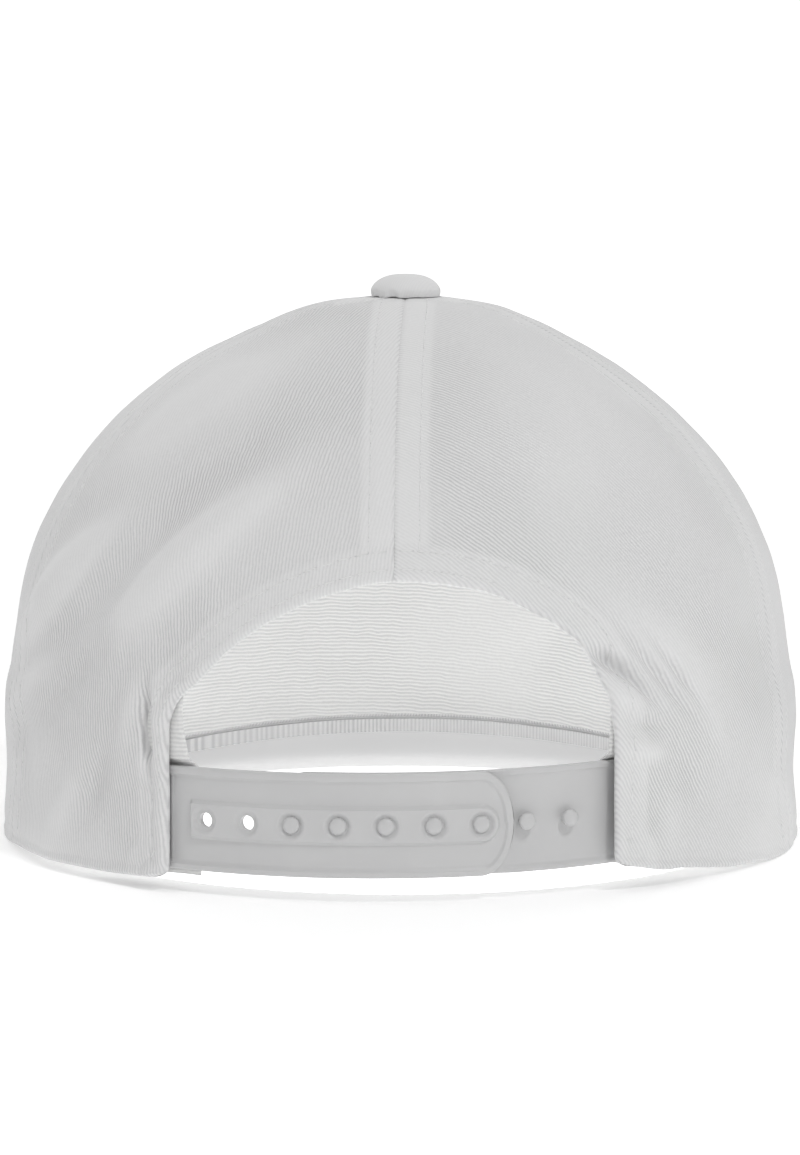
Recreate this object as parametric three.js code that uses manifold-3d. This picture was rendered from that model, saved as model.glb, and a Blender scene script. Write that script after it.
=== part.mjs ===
// A five panel cap of white cotton twill that closes at the back with a plastic snap strap.
// Millimetres, +Z up. The peak points along +Y and the strap crosses the back at -Y.
// The cap rests by itself on the rim of its side panels and on the sides of its peak.
// Places round the crown are turns in degrees from the middle of the back, positive to +X.

import * as THREE from 'three';
import { mergeVertices } from 'three/addons/utils/BufferGeometryUtils.js';
import Module from 'manifold-3d';

const wasm = await Module();
wasm.setup();

// The crown, from the rim at its sides to the cloth under the button.
const crownHeight = 115;
const crownHalfWidth = 85.5;
const crownBack = 99;
const crownFront = 104;
const clothWall = 1.6;
const foldDepth = 1.6;
const foldFadeFrom = 0.86;
const foldFadeTo = 0.98;
const topLean = 1.2;
const topLeanPower = 12;
const clothTurnStep = 4.8;
const clothRows = 20;

// Gaps between sewn panels, and between any two other pieces that touch.
const seamGap = 0.3;
const fitGap = 0.3;

// Seams beside the back panels and beside the front panel.
const backSeamTurn = 70;
const frontSeamTurn = 118;

// The half-moon opening at the back, seen from behind.
const openingHalfWidth = 44.5;
const openingTop = 63;
const openingShift = -0.5;
const archSteps = 26;

// The rim lies flat at the sides and lifts to the corners of the opening.
const cornerLift = 5.5;
const restTurn = 103;

// The peak, sewn under the front rim.
const peakTurn = 113;
const peakHalfWidth = 85;
const peakReach = 68;
const peakThickness = 3.2;
const peakCamber = 6;
const peakColumns = 32;
const peakRows = 4;

// The sweatband inside the rim. Its ends show beside the opening.
const bandHeight = 36;
const bandWall = 1.2;
const bandLift = 1;
const bandShowLeft = 4.4;
const bandShowRight = 1.3;
const bandShowTop = 0.5;
const bandEaseTurn = 12;
const bandColumns = 56;
const bandRows = 4;

// The snap strap, two plates that overlap, and its row of holes and pegs.
const strapWidth = 20.5;
const strapPlate = 1.2;
const strapLow = 5.3;
const strapTilt = 1.1;
const strapTuck = 7;
const strapRound = 6.6;
const outerTipMargin = 6.6;
const innerTipMargin = 4.2;
const snapCount = 7;
const snapPitch = 9.35;
const freePegs = 2;
const stripFromLeg = 6.1;
const holeDiameter = 3.2;
const recessDiameter = 5.2;
const recessDepth = 0.7;
const stripHeight = 7.2;
const stripRaise = 0.8;
const stripMargin = 3.5;
const boreSides = 12;
const pegNeckDiameter = 2.6;
const pegHeadDiameter = 3.6;
const pegHeadHeight = 1;

// The covered button.
const buttonDiameter = 15;
const buttonHeight = 4.4;
const buttonEdge = 1.3;
const shankClearance = 0.8;
const buttonSides = 20;

// Sections of the crown from the rim up: the height as a share of crownHeight, and the
// reach as shares of crownHalfWidth, crownBack and crownFront.
const crownSections = [
  { rise: 0.000, wide: 1.000, back: 0.990, front: 0.990 },
  { rise: 0.050, wide: 1.000, back: 0.998, front: 1.000 },
  { rise: 0.130, wide: 0.992, back: 0.997, front: 0.998 },
  { rise: 0.220, wide: 0.998, back: 0.995, front: 0.990 },
  { rise: 0.280, wide: 0.994, back: 0.985, front: 0.983 },
  { rise: 0.330, wide: 0.980, back: 0.972, front: 0.975 },
  { rise: 0.400, wide: 0.966, back: 0.950, front: 0.962 },
  { rise: 0.470, wide: 0.949, back: 0.921, front: 0.945 },
  { rise: 0.540, wide: 0.922, back: 0.880, front: 0.920 },
  { rise: 0.610, wide: 0.879, back: 0.826, front: 0.880 },
  { rise: 0.680, wide: 0.820, back: 0.760, front: 0.825 },
  { rise: 0.750, wide: 0.743, back: 0.680, front: 0.750 },
  { rise: 0.810, wide: 0.655, back: 0.590, front: 0.665 },
  { rise: 0.870, wide: 0.544, back: 0.485, front: 0.560 },
  { rise: 0.920, wide: 0.427, back: 0.380, front: 0.445 },
  { rise: 0.960, wide: 0.318, back: 0.275, front: 0.325 },
  { rise: 0.985, wide: 0.215, back: 0.185, front: 0.215 },
  { rise: 1.000, wide: 0.040, back: 0.035, front: 0.035 },
];

// Soft folds in the cloth: where the middle lies, the half length and half width as shares
// of crownHeight, the lean up to the right in degrees, and the depth as a share of foldDepth.
const folds = [
  { turn: -59, rise: 0.49, length: 0.17, width: 0.055, lean: 38, depth: 0.8 },
  { turn: -35, rise: 0.54, length: 0.18, width: 0.060, lean: 45, depth: 0.7 },
  { turn: -47, rise: 0.50, length: 0.15, width: 0.055, lean: 42, depth: -0.5 },
  { turn: -49, rise: 0.79, length: 0.15, width: 0.070, lean: 43, depth: 0.8 },
  { turn: 42, rise: 0.38, length: 0.16, width: 0.055, lean: -36, depth: 0.7 },
  { turn: 64, rise: 0.40, length: 0.10, width: 0.070, lean: -50, depth: -0.5 },
  { turn: 30, rise: 0.74, length: 0.16, width: 0.110, lean: 20, depth: 0.4 },
  { turn: -80, rise: 0.88, length: 0.30, width: 0.100, lean: 0, depth: 0.5 },
  { turn: 66, rise: 0.02, length: 0.15, width: 0.090, lean: 0, depth: 1.0 },
  { turn: -57, rise: 0.02, length: 0.16, width: 0.080, lean: 0, depth: 0.5 },
];

// Lift of the rim towards the opening, as shares of cornerLift.
const leftRimLifts = [
  { turn: 0, lift: 0.76 },
  { turn: 31, lift: 0.53 },
  { turn: 44, lift: 0.36 },
  { turn: 66, lift: 0.26 },
  { turn: 80, lift: 0 },
];
const rightRimLifts = [
  { turn: 0, lift: 0.76 },
  { turn: 31, lift: 1 },
  { turn: 41, lift: 0.6 },
  { turn: 55, lift: 0.2 },
  { turn: 66, lift: 0 },
];

// Outline of the opening's arch, from its left leg over the top to its right leg: out to
// the side as a share of openingHalfWidth, and the height as a share of openingTop.
const openingArch = [
  { aside: -1.000, up: 0.540 },
  { aside: -0.957, up: 0.614 },
  { aside: -0.862, up: 0.678 },
  { aside: -0.728, up: 0.774 },
  { aside: -0.545, up: 0.868 },
  { aside: -0.275, up: 0.957 },
  { aside: 0.030, up: 1.000 },
  { aside: 0.390, up: 0.968 },
  { aside: 0.640, up: 0.893 },
  { aside: 0.800, up: 0.820 },
  { aside: 0.888, up: 0.755 },
  { aside: 0.925, up: 0.690 },
  { aside: 0.978, up: 0.600 },
  { aside: 1.000, up: 0.520 },
];

// Outer edge of the peak: out to the side as a share of peakHalfWidth, and forward as a
// share of the way from the peak's corner to its tip.
const peakEdge = [
  { aside: 1.00, forward: 0.22 },
  { aside: 0.94, forward: 0.50 },
  { aside: 0.72, forward: 0.80 },
  { aside: 0.38, forward: 0.955 },
];

const sectionCurve = new THREE.CubicInterpolant(
  crownSections.map((section, index) => index),
  crownSections.flatMap(({ rise, wide, back, front }) => [rise, wide, back, front]),
  4
);

const radians = THREE.MathUtils.degToRad;
const { lerp, smoothstep } = THREE.MathUtils;

// The crown's section at a level from 0 at the rim to 1 under the button.
function sectionAt(level) {
  const [rise, wide, back, front] = sectionCurve.evaluate(level * (crownSections.length - 1));
  return { rise, wide, back, front };
}

// The level where a steadily changing column of the sections reaches a share.
function levelWhere(column, share) {
  const rising = sectionAt(1)[column] > sectionAt(0)[column];
  let low = 0;
  let high = 1;
  while (high - low > 1e-6) {
    const middle = (low + high) / 2;
    const below = sectionAt(middle)[column] < share;
    if (below === rising) low = middle;
    else high = middle;
  }
  return low;
}

// A value eased from row to row of a table of turns.
function easedLift(rows, turn) {
  const next = rows.findIndex((row) => row.turn > turn);
  if (next === 0) return rows[0].lift;
  if (next < 0) return rows.at(-1).lift;
  const from = rows[next - 1];
  const to = rows[next];
  return lerp(from.lift, to.lift, smoothstep(turn, from.turn, to.turn));
}

// A place on the crown's outline at one section, moved inward by an inset.
function planPoint(turn, section, inset = 0) {
  const reach = Math.abs(turn) < 90 ? crownBack * section.back : crownFront * section.front;
  return new THREE.Vector2(
    (crownHalfWidth * section.wide - inset) * Math.sin(radians(turn)),
    -(reach - inset) * Math.cos(radians(turn))
  );
}

function peakUnderside(x) {
  const aside = Math.min(1, Math.abs(x) / peakHalfWidth);
  return peakCamber * (1 - aside ** 2);
}

// Height of the rim: flat at the sides, lifted at the back, and on the peak at the front.
function rimHeight(turn) {
  const away = Math.abs(turn);
  const backLift = cornerLift * easedLift(turn < 0 ? leftRimLifts : rightRimLifts, away);
  const seat = planPoint(turn, crownSections[0], clothWall);
  const onPeak = peakUnderside(seat.x) + peakThickness + fitGap;
  return backLift + onPeak * smoothstep(away, restTurn, peakTurn);
}

function plainCrownPoint(turn, level) {
  const section = sectionAt(level);
  const plan = planPoint(turn, section);
  const rim = rimHeight(turn);
  return new THREE.Vector3(
    plan.x + topLean * section.rise ** topLeanPower,
    plan.y,
    rim + (crownHeight - rim) * section.rise
  );
}

// Outward direction of the crown, square to its surface.
function crownNormal(turn, level) {
  const step = 1e-3;
  const lower = Math.max(0, level - step);
  const upper = Math.min(1, level + step);
  const along = plainCrownPoint(turn + 1, level).sub(plainCrownPoint(turn - 1, level));
  const rising = plainCrownPoint(turn, upper).sub(plainCrownPoint(turn, lower));
  return along.cross(rising).normalize();
}

// Depth of the folds at a place. They fade out towards the button.
function foldAt(turn, rise, wide) {
  const strength = foldDepth * (1 - smoothstep(rise, foldFadeFrom, foldFadeTo));
  return folds.reduce((sum, fold) => {
    const across = radians(turn - fold.turn) * crownHalfWidth * wide;
    const up = (rise - fold.rise) * crownHeight;
    const lean = radians(fold.lean);
    const along = (across * Math.cos(lean) + up * Math.sin(lean)) / (fold.length * crownHeight);
    const aside = (up * Math.cos(lean) - across * Math.sin(lean)) / (fold.width * crownHeight);
    return sum + strength * fold.depth * Math.exp(-(along ** 2) - aside ** 2);
  }, 0);
}

// A point on the cloth, an inset under its outer face.
function clothPoint(turn, level, inset) {
  const { rise, wide } = sectionAt(level);
  const outward = foldAt(turn, rise, wide) - inset;
  return plainCrownPoint(turn, level).addScaledVector(crownNormal(turn, level), outward);
}

// A closed wall between two grids of points. pointAt takes the shares across and up, and
// face 0 for the outer grid or 1 for the inner one.
function closedWall(columns, rows, pointAt) {
  const positions = [];
  const index = [];
  const corner = (column, row, face) => (face * (rows + 1) + row) * (columns + 1) + column;
  const quad = (a, b, c, d) => index.push(a, b, c, a, c, d);

  for (const face of [0, 1]) {
    for (let row = 0; row <= rows; row++) {
      for (let column = 0; column <= columns; column++) {
        positions.push(...pointAt(column / columns, row / rows, face).toArray());
      }
    }
  }
  for (let row = 0; row < rows; row++) {
    for (let column = 0; column < columns; column++) {
      const corners = [[0, 0], [1, 0], [1, 1], [0, 1]];
      const [a, b, c, d] = corners.map(([right, up]) => corner(column + right, row + up, 0));
      const [e, f, g, h] = corners.map(([right, up]) => corner(column + right, row + up, 1));
      quad(a, b, c, d);
      quad(h, g, f, e);
    }
  }
  for (let row = 0; row < rows; row++) {
    quad(corner(0, row, 1), corner(0, row, 0), corner(0, row + 1, 0), corner(0, row + 1, 1));
    quad(
      corner(columns, row, 0), corner(columns, row, 1),
      corner(columns, row + 1, 1), corner(columns, row + 1, 0)
    );
  }
  for (let column = 0; column < columns; column++) {
    quad(corner(column, 0, 1), corner(column + 1, 0, 1), corner(column + 1, 0, 0), corner(column, 0, 0));
    quad(
      corner(column, rows, 0), corner(column + 1, rows, 0),
      corner(column + 1, rows, 1), corner(column, rows, 1)
    );
  }

  const geometry = new THREE.BufferGeometry();
  geometry.setAttribute('position', new THREE.Float32BufferAttribute(positions, 3));
  geometry.setIndex(index);
  geometry.computeVertexNormals();
  return geometry;
}

// A closed geometry as a solid that can be joined and cut.
function toSolid(geometry) {
  const bare = geometry.clone();
  bare.deleteAttribute('normal');
  bare.deleteAttribute('uv');
  const merged = mergeVertices(bare, 1e-4);
  const triangles = [];
  for (let i = 0; i < merged.index.count; i += 3) {
    const [a, b, c] = merged.index.array.slice(i, i + 3);
    if (a !== b && b !== c && c !== a) triangles.push(a, b, c);
  }
  return new wasm.Manifold(new wasm.Mesh({
    numProp: 3,
    vertProperties: merged.attributes.position.array,
    triVerts: new Uint32Array(triangles),
  }));
}

function toGeometry(solid) {
  const mesh = solid.getMesh();
  const geometry = new THREE.BufferGeometry();
  geometry.setAttribute('position', new THREE.BufferAttribute(mesh.vertProperties, 3));
  geometry.setIndex(new THREE.BufferAttribute(mesh.triVerts, 1));
  geometry.computeVertexNormals();
  return geometry;
}

// One panel between two seams, standing half a seam gap clear of each.
function panelGeometry(fromTurn, toTurn) {
  const columns = Math.round((toTurn - fromTurn) / clothTurnStep);
  return closedWall(columns, clothRows, (across, up, face) => {
    const middle = plainCrownPoint((fromTurn + toTurn) / 2, up);
    const trim = THREE.MathUtils.radToDeg(seamGap / 2 / Math.hypot(middle.x, middle.y));
    const turn = lerp(fromTurn + trim, toTurn - trim, across);
    const signedTurn = turn > 180 ? turn - 360 : turn;
    const point = clothPoint(signedTurn, up, face * clothWall);
    if (up === 0) point.z = rimHeight(signedTurn);
    return point;
  });
}

// The half-moon that is cut out of the two back panels, from below the rim to its arch.
function openingCutter() {
  const arch = new THREE.SplineCurve(openingArch.map(({ aside, up }) => (
    new THREE.Vector2(openingShift + aside * openingHalfWidth, up * openingTop)
  )));
  const outline = new THREE.Shape([
    new THREE.Vector2(openingShift - openingHalfWidth, -crownHeight),
    ...arch.getPoints(archSteps),
    new THREE.Vector2(openingShift + openingHalfWidth, -crownHeight),
  ]);
  const cutter = new THREE.ExtrudeGeometry(outline, { depth: 2 * crownBack, bevelEnabled: false });
  return cutter.rotateX(Math.PI / 2);
}

function backPanelGeometry(fromTurn, toTurn) {
  const panel = toSolid(panelGeometry(fromTurn, toTurn));
  return toGeometry(panel.subtract(toSolid(openingCutter())));
}

// The sections that the strap lies against, and the narrowest of them.
const strapSections = crownSections.filter(({ rise }) => rise * crownHeight < strapLow + strapWidth);
const strapNarrow = {
  wide: Math.min(...strapSections.map(({ wide }) => wide)),
  back: Math.min(...strapSections.map(({ back }) => back)),
};
const strapInset = clothWall + fitGap;
const strapHalfWidth = crownHalfWidth * strapNarrow.wide - strapInset;
const strapBack = crownBack * strapNarrow.back - strapInset;

// Length along the strap from the middle of the back to a place beside it.
function strapLengthTo(x) {
  const end = Math.asin(Math.abs(x) / strapHalfWidth) - Math.PI / 2;
  return new THREE.EllipseCurve(0, 0, strapHalfWidth, strapBack, -Math.PI / 2, end).getLength();
}

const strapSweep = radians(75);
const strapCurve = new THREE.EllipseCurve(
  0, 0, strapHalfWidth, strapBack, -Math.PI / 2 - strapSweep, -Math.PI / 2 + strapSweep
);
const strapCurveLength = strapCurve.getLength();
const leftLeg = strapLengthTo(openingShift - openingHalfWidth);
const rightLeg = strapLengthTo(openingShift + openingHalfWidth);

// The holes start beside the left leg. The pegs fill all but the first few of them, and as
// many pegs stay free, where they end short of the right leg.
const stripStart = stripFromLeg - leftLeg;
const holePlaces = Array.from({ length: snapCount }, (_, hole) => (
  stripStart + stripMargin + hole * snapPitch
));
const pegPlaces = holePlaces
  .map((along) => along + freePegs * snapPitch)
  .filter((along) => along < rightLeg - pegHeadDiameter);

// A place on the bent strap, from the length along its outer face, the depth inward and
// the height over its lower edge.
function bentPoint(along, depth, height) {
  const share = 0.5 + along / strapCurveLength;
  const place = strapCurve.getPointAt(share);
  const tangent = strapCurve.getTangentAt(share);
  const lift = strapLow + strapTilt * along / (leftLeg + rightLeg);
  return new THREE.Vector3(place.x - tangent.y * depth, place.y + tangent.x * depth, height + lift);
}

// A bent strip with one rounded end at the tip.
function bentStrip(root, tip, roundLength, low, high, depthFrom, depthTo) {
  const stepLength = 5;
  const roundSteps = 6;
  const lastAngle = 84;
  const towardTip = Math.sign(tip - root);
  const straight = Math.abs(tip - root) - roundLength;
  const straightSteps = Math.ceil(straight / stepLength);
  const ribs = [];
  for (let step = 0; step <= straightSteps; step++) {
    ribs.push({ along: root + towardTip * straight * step / straightSteps, tall: 1 });
  }
  for (let step = 1; step <= roundSteps; step++) {
    const angle = radians(lastAngle * step / roundSteps);
    const along = root + towardTip * (straight + roundLength * Math.sin(angle));
    ribs.push({ along, tall: Math.cos(angle) });
  }
  if (towardTip < 0) ribs.reverse();
  return toSolid(closedWall(ribs.length - 1, 1, (across, up, face) => {
    const { along, tall } = ribs[Math.round(across * (ribs.length - 1))];
    const height = (low + high) / 2 + (up - 0.5) * (high - low) * tall;
    return bentPoint(along, face ? depthTo : depthFrom, height);
  }));
}

// Seats a geometry made round the Y axis on the strap's middle line, with Y as the depth.
function seatOnStrap(geometry, along) {
  const position = geometry.attributes.position;
  for (let i = 0; i < position.count; i++) {
    const [x, depth, z] = [position.getX(i), position.getY(i), position.getZ(i)];
    position.setXYZ(i, ...bentPoint(along + x, depth, strapWidth / 2 + z).toArray());
  }
  return toSolid(geometry);
}

function strapBore(along, diameter, depthFrom, depthTo) {
  const bore = new THREE.CylinderGeometry(diameter / 2, diameter / 2, depthTo - depthFrom, boreSides);
  return seatOnStrap(bore.rotateX(Math.PI).translate(0, (depthFrom + depthTo) / 2, 0), along);
}

// The left strap, with a raised strip round its row of holes.
function holeStrapGeometry() {
  const lastHole = holePlaces.at(-1);
  const stripLow = (strapWidth - stripHeight) / 2;
  const stripEnd = lastHole + stripHeight / 2;
  let strap = bentStrip(
    -(leftLeg + strapTuck), lastHole + outerTipMargin, strapRound, 0, strapWidth, 0, strapPlate
  );
  strap = strap.add(bentStrip(
    stripStart, stripEnd, stripHeight / 2, stripLow, stripLow + stripHeight, -stripRaise, strapPlate / 2
  ));
  for (const along of holePlaces) {
    strap = strap.subtract(strapBore(along, holeDiameter, -strapPlate, 2 * strapPlate));
    strap = strap.subtract(strapBore(along, recessDiameter, -strapPlate, recessDepth - stripRaise));
  }
  return toGeometry(strap);
}

// A snap peg: a neck that passes a hole with clearance, under a domed head.
function pegSolid(along, plateDepth) {
  const headDepth = recessDepth - stripRaise - fitGap;
  const domeSteps = 4;
  const neck = pegNeckDiameter / 2;
  const head = pegHeadDiameter / 2;
  const profile = [
    new THREE.Vector2(0, -(plateDepth + strapPlate / 2)),
    new THREE.Vector2(neck, -(plateDepth + strapPlate / 2)),
    new THREE.Vector2(neck, -headDepth),
  ];
  for (let step = 0; step <= domeSteps; step++) {
    const angle = Math.PI / 2 * step / domeSteps;
    const radius = step === domeSteps ? 0 : head * Math.cos(angle);
    profile.push(new THREE.Vector2(radius, -headDepth + pegHeadHeight * Math.sin(angle)));
  }
  return seatOnStrap(new THREE.LatheGeometry(profile, boreSides).rotateX(Math.PI), along);
}

// The right strap, which lies inside the left one and carries the pegs.
function pegStrapGeometry() {
  const plateDepth = strapPlate + fitGap;
  const tip = pegPlaces[0] - innerTipMargin;
  let strap = bentStrip(
    rightLeg + strapTuck, tip, strapRound, 0, strapWidth, plateDepth, plateDepth + strapPlate
  );
  for (const along of pegPlaces) strap = strap.add(pegSolid(along, plateDepth));
  return toGeometry(strap);
}

// The sweatband follows the cloth, steps inward past the two strap ends, and runs a little
// past the legs of the opening, less so at its top corners.
function sweatbandGeometry() {
  const strapRoom = 2 * (strapPlate + fitGap) + crownBack * (1 - strapNarrow.back);
  const tuckTurn = THREE.MathUtils.radToDeg(
    Math.asin((openingHalfWidth + Math.abs(openingShift) + strapTuck) / strapHalfWidth)
  );
  const endTurn = (share, side) => {
    const show = (side < 0 ? bandShowLeft : bandShowRight) * lerp(1, bandShowTop, smoothstep(share, 0.6, 1));
    const leg = openingHalfWidth + side * openingShift - show;
    return THREE.MathUtils.radToDeg(Math.asin(leg / strapHalfWidth));
  };
  return closedWall(bandColumns, bandRows, (across, up, face) => {
    const turn = lerp(endTurn(up, 1), 360 - endTurn(up, -1), across);
    const signedTurn = turn > 180 ? turn - 360 : turn;
    const away = Math.abs(signedTurn);
    const room = strapRoom * (1 - smoothstep(away, tuckTurn, tuckTurn + bandEaseTurn));
    const rim = rimHeight(signedTurn);
    const height = rim + bandLift + bandHeight * up;
    const level = levelWhere('rise', (height - rim) / (crownHeight - rim));
    const point = clothPoint(signedTurn, level, clothWall + fitGap + room + face * bandWall);
    point.z = height;
    return point;
  });
}

// The peak: a curved plate whose inner edge lies under the front rim.
function peakGeometry() {
  const corner = planPoint(peakTurn, crownSections[0]);
  const tip = crownFront + peakReach;
  const halfEdge = [
    corner,
    ...peakEdge.map(({ aside, forward }) => new THREE.Vector2(
      aside * peakHalfWidth,
      lerp(corner.y, tip, forward)
    )),
  ];
  const mirrored = halfEdge.map(({ x, y }) => new THREE.Vector2(-x, y)).reverse();
  const outerEdge = new THREE.SplineCurve([...halfEdge, new THREE.Vector2(0, tip), ...mirrored]);
  return closedWall(peakColumns, peakRows, (across, up, face) => {
    const turn = lerp(peakTurn, 360 - peakTurn, across);
    const inner = planPoint(turn > 180 ? turn - 360 : turn, crownSections[0], clothWall);
    const place = inner.lerp(outerEdge.getPoint(across), up);
    const top = peakUnderside(place.x) + peakThickness;
    return new THREE.Vector3(place.x, place.y, face ? top : top - peakThickness);
  });
}

// The button: a dished dome over the hole where the panels meet, on a short shank.
function buttonGeometry() {
  const radius = buttonDiameter / 2;
  const shank = crownHalfWidth * crownSections.at(-1).wide - shankClearance;
  const edgeSection = sectionAt(levelWhere('wide', radius / crownHalfWidth));
  const dish = crownHeight * (1 - edgeSection.rise);
  const profile = [
    new THREE.Vector2(0, -clothWall * 2),
    new THREE.Vector2(shank, -clothWall * 2),
    new THREE.Vector2(shank, 0),
    new THREE.Vector2(radius, -dish),
    new THREE.Vector2(radius, buttonEdge - dish),
  ];
  const domeSteps = 6;
  for (let step = 1; step <= domeSteps; step++) {
    const angle = Math.PI / 2 * step / domeSteps;
    const ring = step === domeSteps ? 0 : radius * Math.cos(angle);
    const domeFoot = buttonEdge - dish;
    profile.push(new THREE.Vector2(ring, lerp(domeFoot, buttonHeight, Math.sin(angle))));
  }
  const button = new THREE.LatheGeometry(profile, buttonSides).rotateX(Math.PI / 2);
  return toGeometry(toSolid(button.translate(topLean, 0, crownHeight + fitGap)));
}

const twill = { color: 0xdedede, roughness: 0.92, metalness: 0 };
const bandCloth = { color: 0xd6d6d4, roughness: 0.95, metalness: 0 };
const strapPlastic = { color: 0xd9d9d9, roughness: 0.45, metalness: 0 };

const cap = new THREE.Group();

function addPiece(name, geometry, finish) {
  const mesh = new THREE.Mesh(geometry, new THREE.MeshStandardMaterial(finish));
  mesh.name = name;
  cap.add(mesh);
}

addPiece('front_panel', panelGeometry(frontSeamTurn, 360 - frontSeamTurn), twill);
addPiece('side_panel_right', panelGeometry(backSeamTurn, frontSeamTurn), twill);
addPiece('side_panel_left', panelGeometry(-frontSeamTurn, -backSeamTurn), twill);
addPiece('back_panel_right', backPanelGeometry(0, backSeamTurn), twill);
addPiece('back_panel_left', backPanelGeometry(-backSeamTurn, 0), twill);
addPiece('peak', peakGeometry(), twill);
addPiece('sweatband', sweatbandGeometry(), bandCloth);
addPiece('snap_strap_holes', holeStrapGeometry(), strapPlastic);
addPiece('snap_strap_pegs', pegStrapGeometry(), strapPlastic);
addPiece('button', buttonGeometry(), twill);

// The origin lies under the middle of the whole cap, on the surface that it rests on.
const bounds = new THREE.Box3().setFromObject(cap);
const centre = bounds.getCenter(new THREE.Vector3());
cap.position.set(-centre.x, -centre.y, -bounds.min.z);

export default cap;
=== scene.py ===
import math

import bpy
import numpy as np
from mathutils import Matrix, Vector


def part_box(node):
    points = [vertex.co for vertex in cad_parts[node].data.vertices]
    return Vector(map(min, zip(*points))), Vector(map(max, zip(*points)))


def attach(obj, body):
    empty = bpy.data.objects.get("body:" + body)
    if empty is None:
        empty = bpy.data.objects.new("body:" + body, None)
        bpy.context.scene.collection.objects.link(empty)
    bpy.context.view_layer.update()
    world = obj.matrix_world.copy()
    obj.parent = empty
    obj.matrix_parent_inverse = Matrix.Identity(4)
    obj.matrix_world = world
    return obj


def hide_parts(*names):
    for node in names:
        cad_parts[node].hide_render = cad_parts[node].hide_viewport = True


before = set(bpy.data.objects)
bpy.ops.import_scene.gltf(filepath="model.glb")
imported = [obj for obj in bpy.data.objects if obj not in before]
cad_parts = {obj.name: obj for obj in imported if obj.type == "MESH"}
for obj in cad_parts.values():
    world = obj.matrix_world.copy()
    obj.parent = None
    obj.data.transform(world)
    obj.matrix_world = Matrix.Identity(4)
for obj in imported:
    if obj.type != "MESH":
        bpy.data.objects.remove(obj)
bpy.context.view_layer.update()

# The studio: one sheet of white paper that lies flat under the cap and curves up into a
# wall far behind it, a soft light over the camera's right shoulder and a large one above.
# The camera stands behind the cap, a little above it.
mm = 0.001
button_low, button_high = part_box("button")
crown_y = (button_low.y + button_high.y) / 2

camera_distance = 0.900
camera_lift = math.radians(6.0)
camera_turn = math.radians(0.8)
camera_aim = Vector((0, crown_y, 54.1 * mm))
camera_side = Vector((
    math.sin(camera_turn) * math.cos(camera_lift),
    -math.cos(camera_turn) * math.cos(camera_lift),
    math.sin(camera_lift),
))
bpy.ops.object.camera_add(
    location=camera_aim + camera_distance * camera_side,
    rotation=camera_side.to_track_quat("Z", "Y").to_euler(),
)
camera = bpy.context.object
camera.data.sensor_fit = "VERTICAL"
camera.data.sensor_height = 36
camera.data.lens = 129.66
bpy.context.scene.camera = camera

paper_half_width = 4.0
paper_near = -3.0
paper_bend_start = 1.6
paper_bend_radius = 1.2
paper_rise = 3.0
floor_glow = 0.28
wall_glow = 0.55
glow_grows_from = 0.3
bpy.ops.object.select_all(action="DESELECT")
bpy.ops.mesh.primitive_grid_add(x_subdivisions=2, y_subdivisions=60, size=2)
paper = bpy.context.object
paper.name = "paper"
quarter_turn = paper_bend_radius * math.pi / 2
glow = paper.data.attributes.new("glow", "FLOAT", "POINT")
for vertex in paper.data.vertices:
    share = (vertex.co.y + 1) / 2
    run = paper_near + share * (paper_bend_start - paper_near + quarter_turn + paper_rise)
    bent = min(max(run - paper_bend_start, 0), quarter_turn)
    angle = bent / paper_bend_radius
    vertex.co = Vector((
        vertex.co.x * paper_half_width,
        min(run, paper_bend_start) + paper_bend_radius * math.sin(angle),
        paper_bend_radius * (1 - math.cos(angle)) + max(run - paper_bend_start - quarter_turn, 0),
    ))
    toward_wall = min(max((run - glow_grows_from) / paper_bend_start, 0), 1)
    glow.data[vertex.index].value = floor_glow + (wall_glow - floor_glow) * toward_wall
bpy.ops.object.shade_smooth()


def plain_finish(name, settings):
    """A material and its main shader, with constant settings."""
    finish = bpy.data.materials.new(name)
    finish.use_nodes = True
    shader = finish.node_tree.nodes["Principled BSDF"]
    for socket, value in settings.items():
        shader.inputs[socket].default_value = value
    return finish, shader


paper_finish, paper_shader = plain_finish("white_paper", {
    "Base Color": (0.93, 0.93, 0.93, 1), "Roughness": 0.9,
    "Specular IOR Level": 0.1, "Emission Strength": 1.0})
paper_glow = paper_finish.node_tree.nodes.new("ShaderNodeAttribute")
paper_glow.attribute_name = "glow"
paper_finish.node_tree.links.new(paper_glow.outputs["Fac"], paper_shader.inputs["Emission Color"])
paper.data.materials.append(paper_finish)

# A small light sheet lies on the paper inside the crown, so that the hollow isn't black.
sheet_half_width = 76 * mm
sheet_half_length = 84 * mm
sheet_lift = 0.2 * mm
sheet_glow = 1.15
bpy.ops.object.select_all(action="DESELECT")
bpy.ops.mesh.primitive_circle_add(vertices=64, radius=1, fill_type="NGON", location=(0, crown_y, sheet_lift))
light_sheet = bpy.context.object
light_sheet.name = "light_sheet"
light_sheet.scale = (sheet_half_width, sheet_half_length, 1)
bpy.ops.object.transform_apply(location=True, scale=True)
sheet_finish, _ = plain_finish("light_sheet", {
    "Base Color": (0.9, 0.9, 0.9, 1), "Roughness": 0.9,
    "Emission Color": (1, 1, 1, 1), "Emission Strength": sheet_glow})
light_sheet.data.materials.append(sheet_finish)

# Each lamp's place, size and power.
lamps = (
    (Vector((0.60, -1.12, 1.22)), 0.24, 6.2),
    (Vector((-0.30, -0.2, 1.8)), 1.6, 5.3),
)
for place, size, power in lamps:
    aim = camera_aim - place
    bpy.ops.object.light_add(type="AREA", location=place, rotation=aim.to_track_quat("-Z", "Y").to_euler())
    lamp = bpy.context.object
    lamp.data.shape = "DISK"
    lamp.data.size = size
    lamp.data.energy = power

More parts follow.
